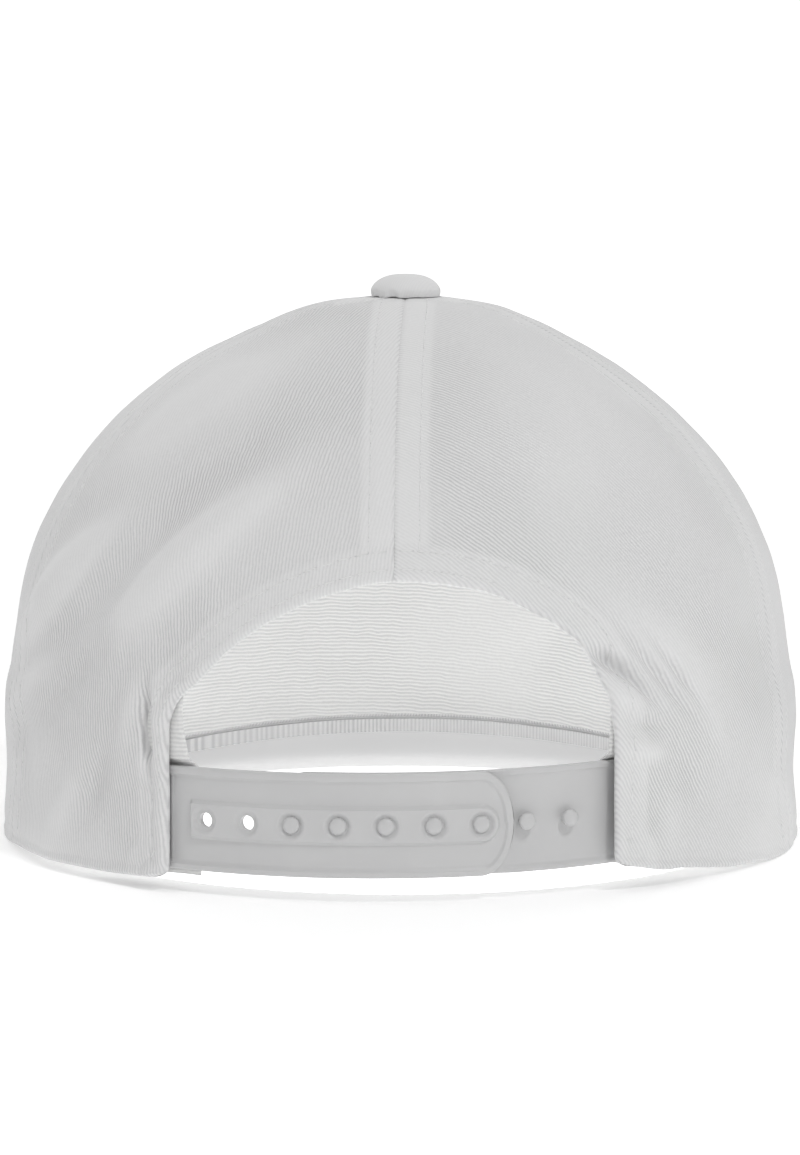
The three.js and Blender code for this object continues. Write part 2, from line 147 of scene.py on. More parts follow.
world_light = 0.445
world = bpy.data.worlds.new("studio")
bpy.context.scene.world = world
world.use_nodes = True
world.node_tree.nodes["Background"].inputs["Color"].default_value = (1, 1, 1, 1)
world.node_tree.nodes["Background"].inputs["Strength"].default_value = world_light
bpy.context.scene.view_settings.view_transform = "Standard"


# The crown's cloth: white cotton twill, five panels sewn edge to edge. The form is soft, so
# it is given by sections from the rim up, with folds laid over it. Places round the crown
# are turns in degrees from the middle of the back, positive to +X.
crown_height = 115 * mm
crown_half_width = 85.5 * mm
crown_back = 99 * mm
crown_front = 104 * mm
cloth_wall = 1.6 * mm
top_lean = 1.2 * mm
top_lean_power = 12
fold_depth = 1.6 * mm
fold_fade_from = 0.86
fold_fade_to = 0.98
corner_lift = 5.5 * mm
rest_turn = 103
peak_turn = 113
peak_half_width = 85 * mm
peak_reach = 68 * mm
peak_thickness = 3.2 * mm
peak_camber = 6 * mm
fit_gap = 0.3 * mm
back_seam_turn = 70
front_seam_turn = 118
seam_turns = (0, back_seam_turn, front_seam_turn, 360 - front_seam_turn, 360 - back_seam_turn, 360)

# Height as a share of crown_height, then the reach to the side, back and front as shares.
crown_sections = np.array([
    (0.000, 1.000, 0.990, 0.990),
    (0.050, 1.000, 0.998, 1.000),
    (0.130, 0.992, 0.997, 0.998),
    (0.220, 0.998, 0.995, 0.990),
    (0.280, 0.994, 0.985, 0.983),
    (0.330, 0.980, 0.972, 0.975),
    (0.400, 0.966, 0.950, 0.962),
    (0.470, 0.949, 0.921, 0.945),
    (0.540, 0.922, 0.880, 0.920),
    (0.610, 0.879, 0.826, 0.880),
    (0.680, 0.820, 0.760, 0.825),
    (0.750, 0.743, 0.680, 0.750),
    (0.810, 0.655, 0.590, 0.665),
    (0.870, 0.544, 0.485, 0.560),
    (0.920, 0.427, 0.380, 0.445),
    (0.960, 0.318, 0.275, 0.325),
    (0.985, 0.215, 0.185, 0.215),
    (1.000, 0.040, 0.035, 0.035),
])

# Folds and puckers: turn in degrees, then rise, half length and half width as shares of
# crown_height, lean up to the right in degrees, and depth as a share of fold_depth.
broad_folds = (
    (-59, 0.49, 0.17, 0.055, 38, 0.8),
    (-35, 0.54, 0.18, 0.060, 45, 0.7),
    (-47, 0.50, 0.15, 0.055, 42, -0.5),
    (-49, 0.79, 0.15, 0.070, 43, 0.8),
    (42, 0.38, 0.16, 0.055, -36, 0.7),
    (64, 0.40, 0.10, 0.070, -50, -0.5),
    (30, 0.74, 0.16, 0.110, 20, 0.4),
    (-80, 0.88, 0.30, 0.100, 0, 0.5),
    (66, 0.02, 0.15, 0.090, 0, 1.0),
    (-57, 0.02, 0.16, 0.080, 0, 0.5),
)
small_puckers = (
    (-35.5, 0.262, 0.052, 0.0110, 98, -2.60),
    (-34.0, 0.290, 0.070, 0.0140, 95, 0.45),
    (-38.6, 0.290, 0.070, 0.0200, 80, 0.45),
    (-35.2, 0.205, 0.022, 0.0170, 0, 0.40),
    (-59.0, 0.500, 0.180, 0.0450, 38, 0.90),
    (-47.0, 0.510, 0.170, 0.0400, 42, -0.85),
    (-38.0, 0.660, 0.200, 0.0450, 40, -0.60),
    (-33.0, 0.550, 0.180, 0.0450, 44, 0.65),
    (-52.0, 0.330, 0.150, 0.0350, 40, -0.75),
    (-62.0, 0.330, 0.130, 0.0300, 25, 0.65),
    (-45.0, 0.160, 0.080, 0.0250, 65, -0.60),
    (-52.0, 0.110, 0.090, 0.0280, 60, 0.55),
    (-70.0, 0.210, 0.100, 0.0350, 10, -0.70),
    (-26.0, 0.620, 0.130, 0.0300, 42, 0.30),
    (30.8, 0.372, 0.038, 0.0150, -34, -1.90),
    (33.8, 0.345, 0.045, 0.0095, -42, -1.00),
    (32.0, 0.312, 0.034, 0.0200, -25, 0.95),
    (35.8, 0.215, 0.034, 0.0190, 0, 0.80),
    (36.5, 0.262, 0.034, 0.0150, 5, -0.70),
    (38.5, 0.352, 0.085, 0.0110, -47, -0.85),
    (42.0, 0.352, 0.080, 0.0110, -49, -0.75),
    (36.5, 0.320, 0.060, 0.0090, -45, -0.30),
    (48.0, 0.270, 0.090, 0.0200, -52, 0.35),
    (44.0, 0.160, 0.060, 0.0220, -60, -0.40),
    (40.0, 0.090, 0.050, 0.0250, 80, 0.35),
    (66.0, 0.130, 0.090, 0.0320, -15, 0.35),
)

# Lift of the rim towards the opening: turn in degrees, and share of corner_lift.
left_rim_lifts = ((0, 0.76), (31, 0.53), (44, 0.36), (66, 0.26), (80, 0))
right_rim_lifts = ((0, 0.76), (31, 1), (41, 0.6), (55, 0.2), (66, 0))


def smooth(value, low, high):
    """Grows from 0 at low to 1 at high, with soft ends."""
    share = np.clip((value - low) / (high - low), 0, 1)
    return share * share * (3 - 2 * share)


def bell(value, width):
    """A soft hump of height 1 at 0."""
    return np.exp(-(value / width) ** 2)


def curve_through(rows, share):
    """A smooth curve from the second row to the last but one, at shares of the way."""
    place = share * (len(rows) - 3)
    row = np.minimum(place.astype(int), len(rows) - 4)
    step = (place - row)[..., None]
    before, start, end, after = (rows[row + k] for k in range(4))
    curve = 2 * before - 5 * start + 4 * end - after + step * (3 * (start - end) + after - before)
    return start + 0.5 * step * (end - before + step * curve)


def spline(points, share):
    """A smooth curve through points, at shares of the way from end to end."""
    return curve_through(np.concatenate([points[:1], points, points[-1:]]), share)


def section_at(level):
    """The section's rise, wide, back and front at levels from 0 at the rim to 1 at the top."""
    below = 2 * crown_sections[:1] - crown_sections[1:2]
    above = 2 * crown_sections[-1:] - crown_sections[-2:-1]
    rows = np.concatenate([below, crown_sections, above])
    return np.moveaxis(curve_through(rows, np.clip(level, 0, 1)), -1, 0)


level_steps = np.linspace(0, 1, 2001)
rise_steps = section_at(level_steps)[0]


def eased_lift(away, rows):
    """The rim's lift at a turn away from the back, eased from row to row."""
    turns, lifts = zip(*rows)
    place = np.interp(away, turns, np.arange(len(rows)))
    row = np.floor(place)
    return np.interp(row + smooth(place - row, 0, 1), np.arange(len(rows)), lifts)


def away_from_back(turn):
    """Degrees from the middle of the back, to either side."""
    return 180 - np.abs(180 - np.mod(turn, 360))


def peak_underside(x):
    """Height of the arched peak's lower face."""
    return peak_camber * (1 - np.clip(np.abs(x) / peak_half_width, 0, 1) ** 2)


def rim_height(turn):
    """Flat at the sides, lifted at the back, and on the peak at the front."""
    away = away_from_back(turn)
    to_left = np.sin(np.radians(turn)) < 0
    lift = np.where(to_left, eased_lift(away, left_rim_lifts), eased_lift(away, right_rim_lifts))
    seat_x = (crown_half_width - cloth_wall) * np.sin(np.radians(turn))
    on_peak = peak_underside(seat_x) + peak_thickness + fit_gap
    return corner_lift * lift + on_peak * smooth(away, rest_turn, peak_turn)


def crown_point(turn, level):
    """A place on the plain crown, before folds and hems."""
    turn, level = np.broadcast_arrays(turn, level)
    rise, wide, back, front = section_at(level)
    angle = np.radians(turn)
    reach = np.where(np.cos(angle) > 0, crown_back * back, crown_front * front)
    rim = rim_height(turn)
    return np.stack([
        crown_half_width * wide * np.sin(angle) + top_lean * np.clip(rise, 0, None) ** top_lean_power,
        crown_y - reach * np.cos(angle),
        rim + (crown_height - rim) * rise,
    ], -1)


def crown_normal(turn, level):
    """Outward direction, square to the plain crown."""
    turn, level = np.broadcast_arrays(turn, level)
    step = 2e-3
    along = crown_point(turn + 0.5, level) - crown_point(turn - 0.5, level)
    rising = crown_point(turn, np.minimum(level + step, 1)) - crown_point(turn, np.maximum(level - step, 0))
    normal = np.cross(along, rising)
    return normal / np.linalg.norm(normal, axis=-1, keepdims=True)


def fold_relief(turn, level, rows):
    """How far a table of folds lifts the cloth outward."""
    rise, wide, _, _ = section_at(level)
    strength = fold_depth * (1 - smooth(rise, fold_fade_from, fold_fade_to))
    total = np.zeros(np.shape(turn))
    signed = (turn + 180) % 360 - 180
    for fold_turn, fold_rise, length, width, lean, depth in rows:
        across = np.radians(signed - fold_turn) * crown_half_width * wide
        up = (rise - fold_rise) * crown_height
        lean = math.radians(lean)
        along = (across * math.cos(lean) + up * math.sin(lean)) / (length * crown_height)
        aside = (up * math.cos(lean) - across * math.sin(lean)) / (width * crown_height)
        total += strength * depth * np.exp(-(along ** 2) - aside ** 2)
    return total


def ripples(points, length, seed):
    """Uneven soft waves of about that length, mostly between -1 and 1."""
    chance = np.random.default_rng(seed)
    total = np.zeros(points.shape[:-1])
    waves = 9
    for _ in range(waves):
        direction = chance.normal(size=3)
        direction /= np.linalg.norm(direction)
        pace = 2 * math.pi / (length * chance.uniform(0.7, 1.4))
        total += np.sin(points @ direction * pace + chance.uniform(0, 2 * math.pi))
    return total * math.sqrt(2 / waves) / 1.5


# The half-moon opening of the two back panels. Its edge is turned in twice and stitched
# down, so it is a thick, rounded hem.
opening_half_width = 44.5 * mm
opening_top = 63 * mm
opening_shift = -0.5 * mm
hem_width = 7.6 * mm
hem_raise = 0.22 * mm
hem_roll = {-1: 0.50 * mm, 1: 0.25 * mm}
hem_roll_at = 1.7 * mm
hem_roll_width = 1.3 * mm
hem_crease_width = 0.6 * mm
leg_round = 2.5 * mm
hem_stitch_at = 6.0 * mm
edge_stitch_at = 2.0 * mm
band_width = 6.7 * mm
band_raise = 0.14 * mm
band_fade = 0.9 * mm
seam_groove = 0.30 * mm
seam_groove_width = 0.34 * mm
seam_line_width = 0.45 * mm
seam_stitch_at = 5.0 * mm
stitch_sink = 0.14 * mm
stitch_sink_width = 0.7 * mm
edge_sink_width = 0.5 * mm
rim_roll = 0.28 * mm
rim_roll_at = 0.9 * mm
rim_roll_width = 0.7 * mm
rim_crease_at = 2.2 * mm
rim_crease_width = 0.5 * mm
cloth_edge_round = 0.9 * mm
slack_depth = 0.16 * mm
slack_length = 26 * mm
crease_depth = 0.05 * mm
crease_length = 9 * mm
stitch_pull = 0.10 * mm
stitch_pull_width = 4.5 * mm
stitch_pull_pitch = 6.5 * mm
stitch_pull_wander = 40 * mm
arch_from = 40 * mm
arch_full = 52 * mm

# How far the iron has pressed the cloth flat, from 0 to 1, and the fold depth at which painted light on
# raised folds and painted shade in sunken ones is full.
centre_pressed = 0.9
seams_pressed = 0.3
hem_pressed = {-1: 0.40, 1: 0.60}
fold_shade_full_depth = 1.1 * mm

# From the left leg over the arch to the right leg: out to the side as a share of
# opening_half_width, and height as a share of opening_top.
opening_arch = np.array([
    (-1.000, 0.540),
    (-0.957, 0.614),
    (-0.862, 0.678),
    (-0.728, 0.774),
    (-0.545, 0.868),
    (-0.275, 0.957),
    (0.030, 1.000),
    (0.390, 0.968),
    (0.640, 0.893),
    (0.800, 0.820),
    (0.888, 0.755),
    (0.925, 0.690),
    (0.978, 0.600),
    (1.000, 0.520),
])


def crown_place(x, z):
    """Turn and level of the back of the crown at a place seen from behind."""
    turn = np.degrees(np.arcsin(np.clip(x / crown_half_width, -1, 1)))
    for _ in range(8):
        rim = rim_height(turn)
        rise = (z - rim) / (crown_height - rim)
        level = np.interp(rise, rise_steps, level_steps)
        wide = section_at(level)[1]
        lean = top_lean * np.clip(rise, 0, None) ** top_lean_power
        turn = np.degrees(np.arcsin(np.clip((x - lean) / (crown_half_width * wide), -1, 1)))
    return turn, level


def opening_edge(side):
    """Turns and levels down one side of the opening, from the top of its arch to the rim."""
    arch = spline(opening_arch * (opening_half_width, opening_top), np.linspace(0, 1, 400))
    arch[:, 0] += opening_shift
    top = np.interp(0, arch[:, 0], arch[:, 1])
    arch = arch[side * arch[:, 0] > 0][::side]
    leg_z = np.linspace(arch[-1, 1], 0, 60)[1:]
    x = np.concatenate([[0], arch[:, 0], np.full(len(leg_z), arch[-1, 0])])
    z = np.concatenate([[top], arch[:, 1], leg_z])
    foot = rim_height(crown_place(x[-1:], np.array([1 * mm]))[0])[0]
    keep = z > foot
    x = np.append(x[keep], x[-1])
    z = np.append(z[keep], foot)
    below = np.clip(1 - (z - foot) / leg_round, 0, 1)
    return crown_place(x + side * leg_round * (1 - np.sqrt(1 - below ** 2)), z)


def line_length(points):
    """The length along a line up to each of its points."""
    steps = np.linalg.norm(np.diff(points, axis=0), axis=1)
    return np.concatenate([[0], np.cumsum(steps)])


def at_lengths(lengths, run, line):
    """The points of a line at lengths along it, where run is its own points' lengths."""
    return np.stack([np.interp(lengths, run, line[:, k]) for k in range(line.shape[1])], -1)


def nearest_on(line, points):
    """Each point's distance to the nearest point of a line, and which one that is."""
    distance = np.empty(len(points))
    closest = np.empty(len(points), int)
    batch = 3000
    for start in range(0, len(points), batch):
        some = slice(start, start + batch)
        gaps = np.linalg.norm(points[some, None] - line[None], axis=2)
        closest[some] = gaps.argmin(axis=1)
        distance[some] = gaps.min(axis=1)
    return distance, closest


left_line = crown_point(*opening_edge(-1))
right_line = crown_point(*opening_edge(1))
opening_line = np.concatenate([left_line[::-1], right_line[1:]])
opening_run = line_length(opening_line)
dense_run = np.linspace(0, opening_run[-1], 900)
opening_line = at_lengths(dense_run, opening_run, opening_line)
opening_reach = 35 * mm
opening_ceiling = 85 * mm


def to_opening(points):
    """Distance of each point to the opening's edge, and how far round the edge that is."""
    flat = points.reshape(-1, 3)
    distance = np.full(len(flat), 1.0)
    place = np.zeros(len(flat))
    near = np.flatnonzero((flat[:, 1] < crown_y - opening_reach) & (flat[:, 2] < opening_ceiling))
    distance[near], closest = nearest_on(opening_line, flat[near])
    place[near] = dense_run[closest]
    return distance.reshape(points.shape[:-1]), place.reshape(points.shape[:-1])


def degree_width(turn, level):
    """How far one degree of turn carries at each place."""
    step = crown_point(turn + 0.5, level) - crown_point(turn - 0.5, level)
    return np.linalg.norm(step, axis=-1)


def to_seam(turn, level):
    """Distance to the nearest seam between two panels."""
    gap = np.min([np.abs(np.mod(turn, 360) - seam) for seam in seam_turns], axis=0)
    return gap * degree_width(turn, level)


def cloth_faces(turn, level):
    """Points on the outer and the inner face of the crown's cloth, and how far it is pressed flat, with
    painted light on raised folds and painted shade in sunken ones.
    """
    turn, level = np.broadcast_arrays(turn, level)
    points = crown_point(turn, level)
    normal = crown_normal(turn, level)
    hem, hem_place = to_opening(points)
    seam = to_seam(turn, level)
    rim = points[..., 2] - rim_height(turn)
    at_left = points[..., 0] < 0

    folds = fold_relief(turn, level, broad_folds) + fold_relief(turn, level, small_puckers)
    slack = slack_depth * ripples(points, slack_length, 3)
    body = folds + slack + crease_depth * ripples(points, crease_length, 4)
    pull = stitch_pull * bell(hem - hem_stitch_at, stitch_pull_width)
    wander = 2 * ripples(points, stitch_pull_wander, 5)
    body += pull * np.sin(hem_place / stitch_pull_pitch * 2 * math.pi + wander)

    band = 1 - smooth(seam, band_width - band_fade, band_width + band_fade)
    hem_share = 1 - smooth(hem, hem_width - band_fade, hem_width + band_fade)
    doubled = np.maximum(band_raise * band, hem_raise * hem_share)
    on_arch = smooth(points[..., 2], arch_from, arch_full)
    by_centre = (points[..., 1] < crown_y) & (np.abs(points[..., 0]) < 2 * band_width)
    band_pressed = band * np.where(by_centre, centre_pressed, seams_pressed) * (1 - 0.4 * hem_share)
    pressed_and_fold_shading = np.maximum(band_pressed, np.where(at_left, hem_pressed[-1], hem_pressed[1]) * hem_share)
    pressed_and_fold_shading -= 0.6 * bell(seam, seam_line_width) * band
    # Painted light and shade: raised folds count as more pressed, so they turn lighter with fainter twill.
    # Sunken folds count as less pressed, so they get stronger twill and less lightening.
    fold_shade_share = np.clip(folds / fold_shade_full_depth, -0.8, 0.9)
    pressed_and_fold_shading += fold_shade_share * (1 - np.clip(pressed_and_fold_shading, 0, 1))
    roll = np.where(at_left, hem_roll[-1], hem_roll[1]) * (1 - 0.8 * on_arch)
    outer = body + doubled
    outer += roll * bell(hem - hem_roll_at, hem_roll_width)
    outer -= 0.6 * roll * bell(hem - 2.2 * hem_roll_at, hem_crease_width)
    outer -= seam_groove * bell(seam, seam_groove_width)
    off_hem = smooth(hem, hem_stitch_at - 1 * mm, hem_stitch_at)
    outer -= stitch_sink * bell(seam - seam_stitch_at, stitch_sink_width) * off_hem
    outer -= stitch_sink * bell(hem - hem_stitch_at, stitch_sink_width)
    outer -= 0.5 * stitch_sink * bell(hem - edge_stitch_at, edge_sink_width)
    outer += rim_roll * bell(rim - rim_roll_at, rim_roll_width)
    outer -= 0.5 * rim_roll * bell(rim - rim_crease_at, rim_crease_width)
    inner = body - cloth_wall - 0.5 * doubled

    edge = np.minimum(hem, rim)
    thickness = (outer - inner) / 2
    fullness = np.sqrt(1 - (1 - np.clip(edge / cloth_edge_round, 0, 1)) ** 2)
    middle = (outer + inner) / 2
    half = (thickness * np.maximum(fullness, 0.12))[..., None]
    centre = points + normal * middle[..., None]
    return centre + normal * half, centre - normal * half, pressed_and_fold_shading


profile_points = crown_point(np.full(len(level_steps), 35.0), level_steps)
profile_steps = line_length(profile_points)


def flat_pattern(turn, level, centre_turn, cut_lean=0):
    """Where a place lies on the cloth that its panel was cut from, with that cut's lean in degrees."""
    points = crown_point(turn, level)
    radius = np.hypot(points[..., 0], points[..., 1] - crown_y)
    run = np.interp(level, level_steps, profile_steps)
    reach = np.hypot(profile_points[:, 0], profile_points[:, 1] - crown_y)
    taper = -np.interp(level, level_steps, np.gradient(reach, profile_steps + level_steps * 1e-9))
    swing = np.radians(turn - centre_turn)
    cone = taper * swing
    safe = np.where(np.abs(cone) < 1e-6, 1e-6, cone)
    across = radius * swing * np.sin(safe) / safe
    up = run + radius * swing * (1 - np.cos(safe)) / safe
    lean = math.radians(cut_lean)
    return np.stack([
        across * math.cos(lean) - up * math.sin(lean),
        across * math.sin(lean) + up * math.cos(lean),
    ], -1)


def finer_at(count, start=False, end=False):
    """Shares from 0 to 1 that lie closer together at a rolled edge."""
    steps = np.ones(count)
    rolled = np.array([0.15, 0.22, 0.35, 0.55, 0.8])
    if start:
        steps[:5] = rolled
    if end:
        steps[-5:] = rolled[::-1]
    return np.concatenate([[0], np.cumsum(steps)]) / steps.sum()


def grid_sheet(name, points):
    """A flat sheet with a vertex for each point of a grid."""
    bpy.ops.object.select_all(action="DESELECT")
    bpy.ops.mesh.primitive_grid_add(
        x_subdivisions=points.shape[1] - 1, y_subdivisions=points.shape[0] - 1, size=1)
    piece = bpy.context.object
    piece.name = name
    return piece


def thicken(piece, thickness):
    """Makes a sheet into a closed wall."""
    wall = piece.modifiers.new("wall", "SOLIDIFY")
    wall.thickness = thickness
    wall.offset = -1
    bpy.ops.object.modifier_apply(modifier=wall.name)


def lay_pattern(mesh, pattern):
    """Sets the UV map from each vertex's place on the flat cloth."""
    mesh.uv_layers[0].name = "cloth"
    corners = np.empty(len(mesh.loops), int)
    mesh.loops.foreach_get("vertex_index", corners)
    mesh.uv_layers[0].data.foreach_set("uv", pattern.reshape(-1, 2)[corners].ravel())


def cloth_piece(name, outer, inner, pattern, pressed_and_fold_shading):
    """A closed piece of cloth between two grids of points, with its flat pattern as UV map."""
    piece = grid_sheet(name, outer)
    mesh = piece.data
    lay_pattern(mesh, pattern)
    thicken(piece, cloth_wall)
    both = np.concatenate([outer.reshape(-1, 3), inner.reshape(-1, 3)])
    mesh.vertices.foreach_set("co", both.ravel())
    shares = np.broadcast_to(pressed_and_fold_shading, outer.shape[:-1]).ravel()
    mesh.attributes.new("pressed_and_fold_shading", "FLOAT", "POINT").data.foreach_set("value", np.tile(shares, 2))
    mesh.update()
    bpy.ops.object.shade_smooth_by_angle(angle=math.radians(60))
    return piece


class Shade:
    """One socket of a material, which takes part in plain arithmetic."""

    def __init__(self, tree, socket=None):
        self.tree = tree
        self.socket = socket

    def node(self, kind, settings=None, sockets=None, output=0):
        """A new node's output, with its settings made and its sockets joined or set."""
        made = self.tree.nodes.new(kind)
        for name, value in (settings or {}).items():
            setattr(made, name, value)
        for name, value in (sockets or {}).items():
            if isinstance(value, Shade):
                self.tree.links.new(value.socket, made.inputs[name])
            else:
                made.inputs[name].default_value = value
        return Shade(self.tree, made.outputs[output])

    def math(self, operation, *values):
        return self.node("ShaderNodeMath", {"operation": operation}, dict(enumerate(values)))

    def cosine(self):
        return self.math("COSINE", self)

    def noise(self, scale, detail, dimensions="3D"):
        """Soft noise over this place."""
        return self.node("ShaderNodeTexNoise", {"noise_dimensions": dimensions},
                         {"Vector": self, "Scale": scale, "Detail": detail})

    def colour(self, low, high, blend="MIX"):
        """A colour from low to high by this share."""
        settings = {"data_type": "RGBA", "blend_type": blend}
        return self.node("ShaderNodeMix", settings, {0: self, 6: low, 7: high}, 2)

    def feed(self, shader, name):
        """Joins this to a socket of the main shader."""
        self.tree.links.new(self.socket, shader.inputs[name])

    def __add__(self, other):
        return self.math("ADD", self, other)

    __radd__ = __add__

    def __sub__(self, other):
        return self.math("SUBTRACT", self, other)

    def __rsub__(self, other):
        return self.math("SUBTRACT", other, self)

    def __mul__(self, other):
        return self.math("MULTIPLY", self, other)

    __rmul__ = __mul__

    def __truediv__(self, other):
        return self.math("DIVIDE", self, other)


def new_finish(name, settings):
    """A material, its node tree's start and its main shader."""
    finish, shader = plain_finish(name, settings)
    return finish, Shade(finish.node_tree), shader


def twill_finish(name, light, dark, line_angle, line_pitch, depth):
    """Cotton twill: fine slanting ridges over crossed yarns, laid on the flat pattern."""
    finish, start, shader = new_finish(name, {
        "Roughness": 0.9, "Specular IOR Level": 0.2, "Sheen Weight": 0.15})
    place = start.node("ShaderNodeUVMap", {"uv_map": "cloth"})
    across_cut = start.node("ShaderNodeSeparateXYZ", sockets={"Vector": place})
    up_cut = start.node("ShaderNodeSeparateXYZ", sockets={"Vector": place}, output=1)
    # This share is how far the cloth is pressed flat, with painted light on raised folds and painted shade in
    # sunken ones. It lightens the colour and flattens the twill.
    pressed_and_fold_shading = start.node("ShaderNodeAttribute", {"attribute_name": "pressed_and_fold_shading"}, output=2)
    wander = place.noise(190.0, 3.0, "2D")
    mottle = place.noise(60.0, 3.0, "2D")
    slubs = place.noise(1300.0, 2.0, "2D")
    patches = place.noise(24.0, 1.0, "2D")
    shown = start.node("ShaderNodeMapRange", {"interpolation_type": "SMOOTHSTEP"}, {
        "Value": patches, "From Min": 0.36, "From Max": 0.60, "To Min": 0.45, "To Max": 1.05})
    angle = math.radians(line_angle)
    over = across_cut * math.sin(angle) - up_cut * math.cos(angle) + (wander - 0.5) * (1.1 * line_pitch)
    along = across_cut * math.cos(angle) + up_cut * math.sin(angle)
    # Slanting ridges, cut into short lengths by the yarns that cross them.
    ridge = (over * (2 * math.pi / line_pitch)).cosine() * 0.5 + 0.5
    yarn = (along * (2 * math.pi / (0.55 * line_pitch)) + over * (math.pi / line_pitch)).cosine() * 0.5 + 0.5
    weave_contrast = (1 - pressed_and_fold_shading * 0.55) * shown
    weave = (ridge * 0.76 + yarn * ridge * 0.16 - 0.4) * weave_contrast + slubs * 0.26 + 0.4
    bump = start.node("ShaderNodeBump", sockets={"Height": weave, "Distance": depth, "Strength": 1.0})
    tone = start.node("ShaderNodeMapRange", {"interpolation_type": "SMOOTHSTEP"}, {
        "Value": weave, "From Min": 0.05, "From Max": 0.85, "To Min": 0.0, "To Max": 1.0})
    colour = tone.colour(dark + (1,), light + (1,))
    bright = tuple(min(1.06 * share, 0.9) for share in light)
    # The colour turns lighter where the cloth is pressed, which is real, and on raised folds, which is
    # painted light.
    pressed_and_fold_lit = (pressed_and_fold_shading * 0.55).colour(colour, bright + (1,))
    clouded = ((mottle - 0.35) * 0.16).colour(pressed_and_fold_lit, (0.75, 0.75, 0.76, 1), "MULTIPLY")
    clouded.feed(shader, "Base Color")
    bump.feed(shader, "Normal")
    return finish


crown_cloth_light = (0.80, 0.80, 0.80)
crown_cloth_dark = (0.60, 0.60, 0.605)
twill_pitch = 0.78 * mm
twill_depth = 0.085 * mm
crown_twill = twill_finish("crown_twill", crown_cloth_light, crown_cloth_dark, 115, twill_pitch, twill_depth)


def dress(piece, finish, slot, *nodes):
    """Gives a piece its material and its place in the part."""
    piece.data.materials.append(finish)
    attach(piece, "root")
    if nodes:
        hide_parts(*nodes)


# The front panel and the two side panels: plain gores from the rim to the button, each cut
# in one piece of twill and sewn to its neighbours with the seams pressed flat.
sewn_gap = 0.004 * mm
gore_rows = 135
for name, turn_from, turn_to, columns in (
    ("front_panel", front_seam_turn, 360 - front_seam_turn, 170),
    ("side_panel_right", back_seam_turn, front_seam_turn, 84),
    ("side_panel_left", 360 - front_seam_turn, 360 - back_seam_turn, 84),
):
    run = finer_at(gore_rows, start=True) * profile_steps[-1]
    level = np.interp(run, profile_steps, level_steps)[:, None]
    middle = crown_point(np.full_like(level, (turn_from + turn_to) / 2), level)
    trim = np.degrees(sewn_gap / np.hypot(middle[..., 0], middle[..., 1] - crown_y))
    turn = turn_from + trim + (turn_to - turn_from - 2 * trim) * np.linspace(0, 1, columns + 1)
    outer, inner, pressed_and_fold_shading = cloth_faces(turn, level)
    pattern = flat_pattern(turn, np.broadcast_to(level, turn.shape), (turn_from + turn_to) / 2)
    panel = cloth_piece(name + "_cloth", outer, inner, pattern, pressed_and_fold_shading)
    dress(panel, crown_twill, "crown_twill", name)


# The two back panels, each with half of the opening cut from it. Their grids run along the
# hem on one side and along the seams and the rim on the others.
top_spread = 3.4 * mm


def flat_place(turn, level):
    """A flat spread of the back of the crown round its top, used to lay out the grid."""
    reach = profile_steps[-1] + top_spread - np.interp(level, level_steps, profile_steps)
    return np.stack([reach * np.sin(np.radians(turn)), -reach * np.cos(np.radians(turn))], -1)


def from_flat(place):
    """Turns and levels of places on the flat spread."""
    reach = np.hypot(place[..., 0], place[..., 1])
    run = profile_steps[-1] + top_spread - reach
    return np.degrees(np.arctan2(place[..., 0], -place[..., 1])), np.interp(run, profile_steps, level_steps)


def even_line(turn, level, shares):
    """A line of the flat spread, at shares of its length."""
    line = flat_place(turn, level)
    run = line_length(line)
    return at_lengths(shares * run[-1], run, line)


back_cut_lean = {-1: 15, 1: -11}
back_columns = 200
back_rows = 150
top_points = 40
side_points = 400
for side, name in ((1, "back_panel_right"), (-1, "back_panel_left")):
    edge_turn, edge_level = opening_edge(side)
    far_turn = side * back_seam_turn
    down = finer_at(back_columns, end=True)
    out = finer_at(back_rows, start=True)
    fine = np.linspace(0, 1, side_points)
    hem_side = even_line(edge_turn, edge_level, down)
    round_top = np.linspace(0, far_turn, top_points)
    seam_side = even_line(
        np.concatenate([round_top, np.full(side_points, float(far_turn))]),
        np.concatenate([np.ones(top_points), 1 - fine]),
        down,
    )
    top_side = even_line(np.zeros(side_points), edge_level[0] + (1 - edge_level[0]) * fine, out)
    rim_side = even_line(edge_turn[-1] + (far_turn - edge_turn[-1]) * fine, np.zeros(side_points), out)
    u = down[None, :, None]
    v = out[:, None, None]
    corners = (
        (1 - u) * (1 - v) * hem_side[0] + u * (1 - v) * hem_side[-1]
        + (1 - u) * v * seam_side[0] + u * v * seam_side[-1]
    )
    place = (
        (1 - v) * hem_side[None] + v * seam_side[None]
        + (1 - u) * top_side[:, None] + u * rim_side[:, None] - corners
    )
    turn, level = from_flat(place)
    middle = crown_point(np.full_like(level, 0.5 * far_turn), level)
    trim = np.degrees(sewn_gap / np.hypot(middle[..., 0], middle[..., 1] - crown_y))
    turn = side * np.clip(side * turn, trim, back_seam_turn - trim)
    if side < 0:
        turn, level = turn[:, ::-1], level[:, ::-1]
    outer, inner, pressed_and_fold_shading = cloth_faces(turn, level)
    pattern = flat_pattern(turn, level, far_turn / 2, back_cut_lean[side])
    panel = cloth_piece(name + "_cloth", outer, inner, pattern, pressed_and_fold_shading)
    dress(panel, crown_twill, "crown_twill", name)


